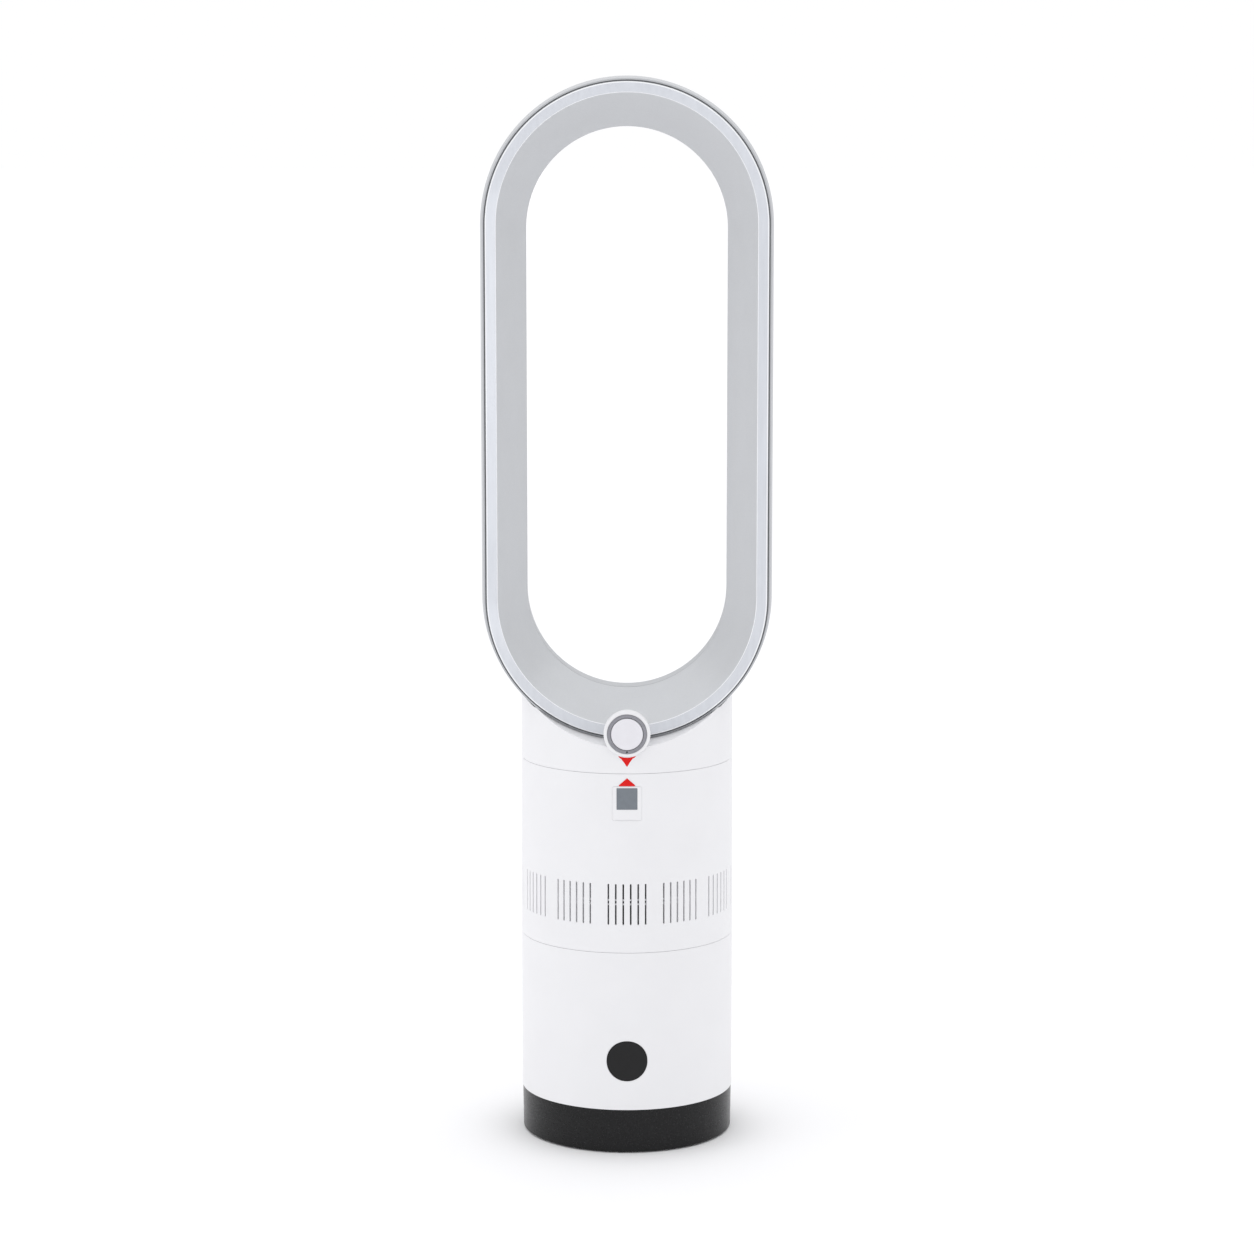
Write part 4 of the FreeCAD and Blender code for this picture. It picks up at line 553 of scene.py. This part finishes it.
def housing_wall(wrap, low, high, wall, edge, holes):
    """A full turn of wall with holes. Its seam is on one side, between two groups of slits."""
    seam = math.radians(SEAM_DEGREES)
    columns, row_height = 180, 16
    angles = [seam - 2 * math.pi + 2 * math.pi * k / columns for k in range(columns + 1)]
    rows = max(2, round((high - low) / row_height))
    heights = [low + edge + (high - low - 2 * edge) * k / rows for k in range(rows + 1)]
    grid = np.array([(a * wrap.radius, h) for h in heights for a in angles])
    free = np.ones(len(grid), bool)
    clear = 1.0
    for hole in holes:
        low_corner = np.array([p[:2] for p in hole]).min(axis=0) - edge - clear
        high_corner = np.array([p[:2] for p in hole]).max(axis=0) + edge + clear
        free &= ~((grid > low_corner) & (grid < high_corner)).all(axis=1)
    ends = [[(a * wrap.radius, height, 0, facing) for a in angles]
            for height, facing in ((low, -1), (high, 1))]
    return sheet([tuple(p) for p in grid[free]], holes, None, ends, edge, wall, wrap)


def plate(wrap, border, wall, edge, holes=()):
    """A small sheet with a border of its own, with enough inner points to follow the curve."""
    spots = np.array([p[:2] for p in border])
    low, high = spots.min(axis=0), spots.max(axis=0)
    step, margin = 1.5, 0.6
    grid = np.array([(x, y) for x in np.arange(low[0] + step, high[0], step)
                     for y in np.arange(low[1] + step, high[1], step)]).reshape(-1, 2)
    free = encloses(set_back(border, -edge - margin), grid)
    for hole in holes:
        free &= ~encloses(set_back(hole, edge + margin), grid)
    return sheet([tuple(p) for p in grid[free]], list(holes), border, [], edge, wall, wrap)


# %% [markdown]
# ## The foot and the lower shell
# The foot is a black cup with a soft lower edge, and the white lower shell stands on it. Their
# joint is only a fine line, so both edges have small radii. The round window for the remote control
# stands 0.2 mm proud of the shell and follows its curve.

# %% Foot, lower shell and sensor window
def mm_box(node):
    low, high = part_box(node)
    return low / MM, high / MM


foot_low, foot_high = mm_box("foot_ring")
foot_out = foot_high.x
foot_draft, foot_wall, foot_floor = 0.5, 3, 3
foot_toe, foot_edge, foot_inner_edge = 1.4, 0.5, 0.3
piece("foot_cup", sweep(rounded([
    (0, foot_low.z, 0),
    (foot_out - foot_draft, foot_low.z, foot_toe),
    (foot_out, foot_high.z, foot_edge),
    (foot_out - foot_wall, foot_high.z, foot_inner_edge),
    (foot_out - foot_wall, foot_low.z + foot_floor, foot_edge),
    (0, foot_low.z + foot_floor, 0)]), upright_stations()), "base", ["foot_ring"])

_, base_high = mm_box("base_housing")
column_radius = base_high.x
shell_wall, shell_edge = 2.4, 0.3
window_low, window_high = mm_box("sensor_window")
window_radius = (window_high.x - window_low.x) / 2
window_height = (window_low.z + window_high.z) / 2
window_gap, window_thickness, window_edge = 0.05, 2.4, 0.35
base_wrap = Wrap(column_radius)


def round_outline(radius, height, grow=0.0):
    """A circle as an outline, centred on the front."""
    radius += grow
    return rounded_box(-radius, radius, height - radius, height + radius, radius, bends=16)


inlet_low, inlet_high = mm_box("inlet_socket")
inlet_height = (inlet_low.z + inlet_high.z) / 2
half_turn = -math.pi * column_radius
cut_half_width, cut_half_height, cut_corner = 13.5, 9.5, 1
inlet_hole = rounded_box(half_turn - cut_half_width, half_turn + cut_half_width,
                         inlet_height - cut_half_height, inlet_height + cut_half_height, cut_corner)
seam_line = 0.3
foot_joint = foot_high.z
housing_low, housing_high = mm_box("motor_housing")
base_holes = [round_outline(window_radius, window_height), inlet_hole]
piece("base_shell", housing_wall(base_wrap, foot_joint, base_high.z + seam_line, shell_wall,
                                 shell_edge, base_holes), "base", ["base_housing"])
window_disc = round_outline(window_radius, window_height, -window_gap)
piece("infrared_window", plate(Wrap(-window_low.y), window_disc, window_thickness, window_edge),
      "base", ["sensor_window"])

# %% [markdown]
# ## The mains inlet at the back
# It is a flanged block of stiff black nylon with a pill-shaped recess for a small appliance lead,
# and two pins stand in it. The CAD pins are right as they are, so only the block is rebuilt.

# %% Mains inlet
inlet_face = inlet_high.y
recess_half_width, recess_half_height, recess_corner = 7.5, 4.2, 4.1
recess = rounded_box(-recess_half_width, recess_half_width, inlet_height - recess_half_height,
                     inlet_height + recess_half_height, recess_corner, bends=8)
flange_corner, flange_edge, throat_edge = 2.5, 0.6, 0.2
flange = rounded_box(inlet_low.x, inlet_high.x, inlet_low.z, inlet_high.z, flange_corner)
throat_half_width, throat_half_height = 13.2, 9.2
throat = rounded_box(-throat_half_width, throat_half_width, inlet_height - throat_half_height,
                     inlet_height + throat_half_height, cut_corner)
flange_depth, recess_depth, back_depth, parting = 5.6, 13, 2, 0.05
inlet = joined(
    plate(Flat(inlet_face), flange, flange_depth, flange_edge, [recess]),
    plate(Flat(inlet_face - flange_depth - parting), throat,
          recess_depth - flange_depth - 2 * parting, throat_edge, [recess]),
    plate(Flat(inlet_face - recess_depth), throat, back_depth, throat_edge))
piece("mains_inlet_block", inlet, "base", ["inlet_socket"])

# %% [markdown]
# ## The turning housing and its air slits
# Air enters through twelve groups of six upright slits. Two thin ribs run round behind them and tie
# the narrow bars together, so each slit looks broken twice near its middle. Seen from the side a
# slit closes up, because it is narrower than the wall is thick, and that needs real geometry.

# %% Turning housing
housing_taper = 0.5 / (housing_high.z - housing_low.z)
housing_wrap = Wrap(column_radius, housing_taper, housing_low.z)
slit_low, slit_high, slit_width = 200.7, 236.3, 1.4
slit_pitch, slits_in_group, slit_groups = 4, 6, 12
slit_wall = 3.6


def slit_outlines():
    """One narrow outline with round ends for each slit, all round the housing."""
    slits = []
    for group in range(slit_groups):
        for place in range(slits_in_group):
            degrees = 360 / slit_groups * group + slit_pitch * (place - (slits_in_group - 1) / 2)
            degrees = (degrees - SEAM_DEGREES) % 360 + SEAM_DEGREES - 360
            middle = math.radians(degrees) * column_radius
            slits.append(rounded_box(middle - slit_width / 2, middle + slit_width / 2,
                                     slit_low, slit_high, slit_width / 2, bends=4))
    return slits


panel_low, panel_high = mm_box("display_frame")
panel_corner = 2
panel = rounded_box(panel_low.x, panel_high.x, panel_low.z, panel_high.z, panel_corner)
rib_in, rib_out, rib_height, rib_edge = 88.2, 89.7, 1.4, 0.2
ribs = [sweep(rounded([(rib_in, low, rib_edge), (rib_out, low, 0), (rib_out, low + rib_height, 0),
                       (rib_in, low + rib_height, rib_edge)]), upright_stations())
        for low in (217.6, 221.2)]
piece("turning_shell", joined(
    housing_wall(housing_wrap, housing_low.z - seam_line, housing_high.z + seam_line, slit_wall,
                 shell_edge, slit_outlines() + [panel]), *ribs), "column", ["motor_housing"])

# %% [markdown]
# ## The display
# A white frame sits flush in the housing, and its edge only shows as a hairline. The tinted window
# lies a tenth of a millimetre lower. The red arrows above it are screen printed: ink a few
# hundredths thick, so each is its own thin sheet that follows the shell.

# %% Display and printed arrows
glass_low, glass_high = mm_box("display_window")
hairline, glass_corner, display_depth, surround_edge, glass_edge = 0.1, 0.5, 2, 0.18, 0.1
glass = rounded_box(glass_low.x, glass_high.x, glass_low.z, glass_high.z, glass_corner)
surround = rounded_box(panel_low.x + hairline, panel_high.x - hairline, panel_low.z + hairline,
                       panel_high.z - hairline, panel_corner - hairline)
frame_plate = plate(Wrap(-panel_low.y), surround, display_depth, surround_edge, [glass])
piece("display_surround", frame_plate, "column", ["display_frame"])
piece("display_glass", plate(Wrap(-glass_low.y), glass, display_depth, glass_edge), "column",
      ["display_window"])

ink_thickness, ink_rise, ink_edge = 0.06, 0.04, 0.02
button_low, button_high = mm_box("power_button")
button_height = (button_low.z + button_high.z) / 2
neck_low, neck_high = mm_box("neck_housing")
neck_radius = neck_high.x


def printed(name, corners, radius, body):
    """A thin printed shape on the column's surface."""
    ink = plate(Wrap(radius + ink_rise), rounded(corners, bends=3), ink_thickness, ink_edge)
    return piece(name, ink, body, finish=RED_INK)


arrow_half, arrow_arc, arrow_tip, arrow_foot, arc_corner = 7.8, 20.5, 0.6, 0.5, 0.2
up_foot, up_middle, up_tip, down_tip = 320.9, 324, 327.8, 337.5
printed("lock_arrow_up", [(-arrow_half, up_foot, arrow_foot), (arrow_half, up_foot, arrow_foot),
                          (0, up_tip, arrow_tip)], -housing_wrap(0, up_middle, 0).y, "column")
# The downward arrow's top follows the button's ring.
arc_points = [(x, button_height - math.sqrt(arrow_arc ** 2 - x ** 2),
               arc_corner if abs(x) == arrow_half else 0)
              for x in (-arrow_half, -5.2, -2.6, 0, 2.6, 5.2, arrow_half)]
neck_ink_sink = 0.02
printed("lock_arrow_down", [(0, down_tip, arrow_tip)] + arc_points[::-1],
        neck_radius - neck_ink_sink, "head")

# %% [markdown]
# ## The neck and its saddle
# The neck is the column's last stretch, scooped out on top so that the loop can lie in it. Where
# the loop's casing is widest the scoop is deeper, and in front and behind it leaves the pale
# crescent ledges. The shape is a height for every point of a disc, so it is built in rows from
# front to back: each row follows the scoop, and its two ends lie on the round wall.

# %% Saddle shape
_, loop_high_corner = mm_box("loop_rear_shell")
loop_radius = loop_high_corner.x
arc_low, arc_high = 475.6, loop_high_corner.z - loop_radius
# How far the loop's skin lies inside its widest line, as (depth, inset) in mm.
SKIN = [(-50, 3.2), (-44.5, 1.4), (-30.5, 0), (20.4, 0), (43.4, 2.4), (50.4, 5.6), (53.4, 10)]
cradle_gap, ledge_lip = 0.8, 2.0


def cradle_radius(depth):
    """The scoop's radius at a depth: a ledge, or the loop's skin plus a gap where that is more."""
    inset = float(np.interp(depth, [p[0] for p in SKIN], [p[1] for p in SKIN]))
    return loop_radius + max(-ledge_lip, cradle_gap - inset)


def saddle(x, y):
    """The height of the scoop over a point of the column's plan."""
    return arc_low - math.sqrt(cradle_radius(y) ** 2 - x ** 2)


def saddle_normal(x, y):
    nudge = 0.2
    slope_x = (saddle(x + nudge, y) - saddle(x - nudge, y)) / (2 * nudge)
    slope_y = (saddle(x, y + nudge) - saddle(x, y - nudge)) / (2 * nudge)
    return Vector((-slope_x, -slope_y, 1)).normalized()


# %% Neck
def dome(radius, low, drop, edge, columns=240, across=40):
    """The wall up to the scoop, and the scoop: one side of the neck's skin."""
    points, normals, faces = [], [], []
    lip_steps = 4 if edge else 0
    rows, waist = 3 + lip_steps, 0.6
    for i in range(columns):
        a = 2 * math.pi * i / columns
        out = Vector((math.sin(a), -math.cos(a), 0))
        top = saddle(out.x * radius, out.y * radius) - drop
        column = [(radius, low, out), (radius, low + waist * (top - low), out),
                  (radius, top - edge, out)]
        for k in range(1, lip_steps + 1):
            b = math.pi / 2 * k / lip_steps
            reach = radius - edge * (1 - math.cos(b))
            height = saddle(out.x * reach, out.y * reach) - drop - edge * (1 - math.sin(b))
            lean = saddle_normal(out.x * reach, out.y * reach)
            column.append((reach, height, out * math.cos(b) + lean * math.sin(b)))
        for reach, height, normal in column:
            points.append(out * reach + UP * height)
            normals.append(normal)
    for i in range(columns):
        j = (i + 1) % columns
        faces += [(i * rows + k, j * rows + k, j * rows + k + 1, i * rows + k + 1)
                  for k in range(rows - 1)]
    inner, start = radius - edge, len(points)
    half = columns // 2
    for i in range(half + 1):
        a = 2 * math.pi * i / columns
        for j in range(across + 1):
            x = inner * math.sin(a) * (2 * j / across - 1)
            y = -inner * math.cos(a)
            points.append(Vector((x, y, saddle(x, y) - drop)))
            normals.append(saddle_normal(x, y))
    wide = across + 1
    for i in range(half):
        row = start + i * wide
        faces += [(row + j, row + j + 1, row + wide + j + 1, row + wide + j) for j in range(across)]
    return points, faces, normals


def neck_shell():
    """The outer and inner skins, joined by a ring with rounded edges at the bottom."""
    low, edge, top_edge, columns, bends = neck_low.z - seam_line, 0.3, 0.7, 240, 4
    outer = dome(neck_radius, low + edge, 0, top_edge, columns)
    inner = dome(neck_radius - shell_wall, low + edge, shell_wall, 0, columns)
    inner = (inner[0], inner[1], [-n for n in inner[2]])
    ring = []
    for side, start in ((1, 0), (-1, math.pi / 2)):
        for k in range(bends + 1):
            a = start + math.pi / 2 * k / bends
            middle = neck_radius - edge if side == 1 else neck_radius - shell_wall + edge
            ring.append((middle + edge * math.cos(a), low + edge - edge * math.sin(a),
                         math.cos(a), -math.sin(a)))
    points, normals, faces = [], [], []
    for _, out, along, _ in upright_stations(columns):
        points += [out * across + along * up for across, up, _, _ in ring]
        normals += [out * across + along * up for _, _, across, up in ring]
    count = len(ring)
    for i in range(columns):
        j = (i + 1) % columns
        faces += [(i * count + k, j * count + k, j * count + k + 1, i * count + k + 1)
                  for k in range(count - 1)]
    return joined(outer, inner, (points, faces, normals))


pod_sink, pod_back, pod_bore, pod_narrow, pod_wide, pod_edge = 1.5, -56, 11.5, 14.2, 18.9, 0.3
pod_front = -(neck_radius - pod_sink)
pod = sweep(rounded([(pod_bore, pod_back, pod_edge), (pod_narrow, pod_back, 0.5),
                     (pod_wide, pod_front, pod_edge), (pod_bore, pod_front, pod_edge)]),
            facing_stations(button_height))
piece("neck_saddle", joined(neck_shell(), pod), "head", ["neck_housing"])

# %% [markdown]
# ## The air loop
# The loop is two casings. The rear one is the smooth outer skin with a rounded back and the lip of
# the air slot. The front one carries the bevelled rim and the sloping face that the jet clings to.
# Both are cross-sections swept round the same track: half a circle, a straight, half a circle, a
# straight. Inside the top arc the throat's centre is about 5 mm lower than the skin's. The face's
# inner edge reaches over the slot here, so that no dark line shows from the front.

# %% Track and casings
def track_stations(steps=80):
    """Stations round the loop, starting at the left end of its lower arc."""
    stations = []
    for k in range(2 * steps + 2):
        upper = k > steps
        a = -math.pi / 2 + math.pi * (k - (1 if upper else 0)) / steps
        centre = UP * (arc_high if upper else arc_low)
        stations.append((centre, Vector((math.sin(a), 0, -math.cos(a))), BACKWARD, int(upper)))
    return stations


def throat_sink(across):
    """How far a point of the section sinks in the top arc: all at the throat, none at the rim."""
    throat_drop, throat_reach, rim_reach = 5.1, 90.2, 110.1
    return throat_drop * min(1, max(0, (rim_reach - across) / (rim_reach - throat_reach)))


track = track_stations()
# Each corner is (distance from the track's centre line, depth, radius) in mm.
rear_casing = rounded([
    (120.3, -51.8, 0.2),
    (121.8, -51.4, 0.4),
    (122.6, -44.5, 6),
    (124, -30.5, 14),
    (124, 20.4, 24),
    (121.6, 43.4, 9),
    (118.4, 50.4, 4),
    (114, 53.4, 3),
    (96, 53.4, 1.2),
    (88.8, 47.4, 6),
    (87, 37.4, 8),
    (87, 14.8, 0.4),
    (88.6, 16.5, 0.4),
    (88.6, 37.4, 6),
    (92, 47.4, 3),
    (101, 51, 2),
    (112, 51, 3),
    (119.2, 42.4, 8),
    (121.6, 20.4, 20),
    (121.6, -30.5, 10),
    (119.7, -44.5, 3),
    (119.7, -49.5, 0),
    (120.3, -49.5, 0)], bends=6)
piece("loop_rear_casing", sweep(rear_casing, track, throat_sink), "head", ["loop_rear_shell"])

front_casing = rounded([
    (118.9, -54.5, 0.35),
    (119.4, -52.9, 0.3),
    (119.4, -45.5, 0.3),
    (113.4, -45.5, 1),
    (112.4, -49, 1),
    (92.6, 12, 4),
    (92.2, 34, 0.3),
    (90.2, 34, 0.3),
    (90.2, 16, 0.3),
    (87.1, 14, 0.3),
    (87.1, 12, 0.4),
    (110.1, -51, 0.9),
    (118.2, -54.5, 0.35)], bends=6)
edge_inner, bevel_inner, bevel_outer, edge_outer, bevel_back = 109.7, 110.6, 118.0, 119.0, -49.8


def rim_finish(centre):
    """Which finish a face takes: 0 is silver, 1 the bevel's pearl, 2 an edge with a painted
    highlight.
    """
    height = min(max(centre.z, arc_low), arc_high)
    reach = math.hypot(centre.x, centre.z - height)
    if centre.y > bevel_back or not edge_inner < reach < edge_outer:
        return 0
    return 1 if bevel_inner < reach < bevel_outer else 2


piece("loop_front_casing", sweep(front_casing, track, throat_sink), "head", ["loop_front_shell"],
      tint=([PEARL, RIM_EDGE_PAINTED_HIGHLIGHT], rim_finish))
strip_in, strip_out, strip_front, strip_back, strip_edge = 119.45, 120.25, -52.6, -49.6, 0.2
strip = rounded_box(strip_in, strip_out, strip_front, strip_back, strip_edge)
piece("loop_seam_strip", sweep(strip, track), "head", ["seam_strip"])

# %% [markdown]
# ## The power button
# A white bezel holds a metal trim ring, and the satin button moves in the middle of it. All three
# are turned about the same front-to-back axis. The button's face is dished by 0.4 mm so that a
# fingertip finds it, and a tiny smoked lens for the status light sits in the ring's lowest point.

# %% Button, ring, bezel and light
front = button_low.y
facing = facing_stations(button_height)
bezel_low, _ = mm_box("button_bezel")
bezel_bore, bezel_seat, bezel_out, bezel_back, seat_depth = 13.9, 16.85, 19.8, -86.5, 2
piece("button_bezel_ring", sweep(rounded([
    (bezel_seat, bezel_low.y + seat_depth, 0),
    (bezel_seat, bezel_low.y, 0.5),
    (bezel_out, bezel_low.y, 1.3),
    (bezel_out, bezel_back, 0.2),
    (bezel_bore, bezel_back, 0.2),
    (bezel_bore, bezel_low.y + seat_depth, 0)]), facing), "head", ["button_bezel"])
trim_low, _ = mm_box("button_trim_ring")
trim_in, trim_crest, trim_out, trim_depth = 13.85, 15.6, 16.75, 2.1
piece("button_metal_trim", sweep(rounded([
    (trim_in, trim_low.y + trim_depth, 0.1),
    (trim_out, trim_low.y + trim_depth, 0.1),
    (trim_out, trim_low.y + 0.15, 0.5),
    (trim_crest, trim_low.y, 1),
    (trim_in, trim_low.y + 0.35, 0.3)]), facing), "head", ["button_trim_ring"])
cap_radius, cap_depth, button_dish, dish_radius = 13.45, 2.5, 0.4, 9
stem_radius, stem_front = 3, front + 2.4
piece("power_button_cap", joined(
    sweep(rounded([
        (0, front + button_dish, 0),
        (dish_radius, front + button_dish, 12),
        (cap_radius, front, 0.5),
        (cap_radius, front + cap_depth, 0.3),
        (0, front + cap_depth, 0)]), facing),
    sweep(rounded([
        (0, stem_front, 0),
        (stem_radius, stem_front, 0),
        (stem_radius, button_high.y, 0.3),
        (0, button_high.y, 0)]), facing)), "button", ["power_button"])
light_low, light_high = mm_box("status_light")
light_height = (light_low.z + light_high.z) / 2
lens_radius, lens_edge, lens_rise = 0.85, 0.3, 0.12
piece("status_light_lens", sweep(rounded([
    (0, light_low.y - lens_rise, 0),
    (lens_radius, light_low.y - lens_rise, lens_edge),
    (lens_radius, light_high.y, 0),
    (0, light_high.y, 0)]), facing_stations(light_height, steps=32)), "head", ["status_light"])

# %% [markdown]
# ## The button's return spring
# A steel wire is wound into six open turns between the switch board and the button. It hides behind
# the button, but it has to shorten as the button goes in. A curve with a bevel would give the coil,
# yet only a mesh can be squashed along its axis, so a ring of points is set round each step of the
# helix. The coil is built at rest, between the two ends that the CAD part gives, as a mesh of its
# own.

# %% Return spring
def coil(turns, radius, wire, depths, steps=48, sides=12):
    """A round wire wound about the button's axis between two depths, with closed ends."""
    points, normals = [], []
    count = turns * steps + 1
    for k in range(count):
        turn = 2 * math.pi * k / steps
        across = Vector((math.cos(turn), 0, math.sin(turn)))
        depth = depths[0] + (depths[1] - depths[0]) * k / (count - 1)
        centre = across * radius + BACKWARD * depth + UP * button_height
        for j in range(sides):
            a = 2 * math.pi * j / sides
            normal = across * math.cos(a) + BACKWARD * math.sin(a)
            points.append(centre + normal * wire)
            normals.append(normal)
    faces = [(k * sides + j, k * sides + (j + 1) % sides, (k + 1) * sides + (j + 1) % sides,
              (k + 1) * sides + j) for k in range(count - 1) for j in range(sides)]
    faces += [tuple(range(sides)), tuple(range((count - 1) * sides, count * sides))]
    return points, faces, normals


spring_low, spring_high = mm_box("button_spring")
wire_radius, spring_turns = 0.35, 6
spring = piece("button_return_spring", coil(
    spring_turns, spring_high.x - wire_radius, wire_radius,
    (spring_low.y + wire_radius, spring_high.y - wire_radius)), "head", ["button_spring"])
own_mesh(spring)

# %% [markdown]
# ## Finishes for the parts that stay
# Everything else inside, from the cast weight in the foot to the impeller, keeps its CAD mesh. The
# frame already places it, so each part only needs the finish that its slot in the record names.

# %% Finish the CAD parts
shown = [name for name, node in frame["nodes"].items() if not node.hide_render]
for name in shown:
    mesh = frame["nodes"][name].data
    mesh.materials.clear()
    mesh.materials.append(FINISHES[SLOT_OF[name]])
print(len(shown), "CAD parts keep their mesh")

# %% [markdown]
# ## Floor, light and camera
# The fan stands on a seamless white sweep. A floor that runs to the horizon under a white sky gives
# that look with one mesh. A broad soft light like stretched silk hangs overhead and a little
# behind, so that the shade gathers in front of the foot, and two tall soft panels at the sides put
# the pale bands on the black foot and the bevel.

# %% Floor and lights
floor_mesh = bpy.data.meshes.new("studio_floor")
floor_half = 60
floor_corners = [(-floor_half, -floor_half, 0), (floor_half, -floor_half, 0),
                 (floor_half, floor_half, 0), (-floor_half, floor_half, 0)]
floor_mesh.from_pydata(floor_corners, [], [(0, 1, 2, 3)])
floor = bpy.data.objects.new("studio_floor", floor_mesh)
bpy.context.scene.collection.objects.link(floor)
floor_mesh.materials.append(
    mottled("matt_white_paper_floor", ("EFEFF0", "F4F4F5"), (0.8, 0.9), 400))

scene = bpy.context.scene
scene.world = bpy.data.worlds.new("pale_studio")
scene.world.use_nodes = True
sky = scene.world.node_tree
sky.nodes.clear()
room = add(sky, "ShaderNodeBackground", {"Color": tone("FDFDFE"), "Strength": 1.02})
add(sky, "ShaderNodeOutputWorld", {"Surface": room.outputs[0]})


def soft_panel(name, place, aim, width, height, power):
    """A rectangular soft light at a place, turned to face a point."""
    lamp = bpy.data.lights.new(name, "AREA")
    lamp.shape, lamp.size, lamp.size_y, lamp.energy = "RECTANGLE", width, height, power
    stand = bpy.data.objects.new(name, lamp)
    stand.location = place
    stand.rotation_euler = (Vector(aim) - Vector(place)).to_track_quat("-Z", "Y").to_euler()
    stand.visible_camera = False
    bpy.context.scene.collection.objects.link(stand)


fan_middle = (0, 0, 0.45)
soft_panel("right_soft_panel", (2.1, -2.0, 1.2), fan_middle, width=0.7, height=2.2, power=2.5)
soft_panel("left_soft_panel", (-2.6, -0.9, 1.2), fan_middle, width=0.8, height=2.2, power=6)

silk_spread, silk_lean = math.radians(100), math.radians(-22)
overhead = bpy.data.lights.new("overhead_silk", "SUN")
overhead.energy, overhead.angle = 0.62, silk_spread
silk = bpy.data.objects.new("overhead_silk", overhead)
silk.rotation_euler = (silk_lean, 0, 0)
scene.collection.objects.link(silk)
print("lights:", len(bpy.data.lights))

# %% Camera
look_down = 8.337
lens = bpy.data.cameras.new("studio_camera")
lens.lens, lens.sensor_width = 99.4, 36
camera = bpy.data.objects.new("studio_camera", lens)
scene.collection.objects.link(camera)
camera.location = (0, -2.9683, 0.8786)
camera.rotation_euler = (math.radians(90 - look_down), 0, 0)
scene.camera = camera
scene.view_settings.view_transform = "Standard"
print("camera looks down by", look_down, "degrees")
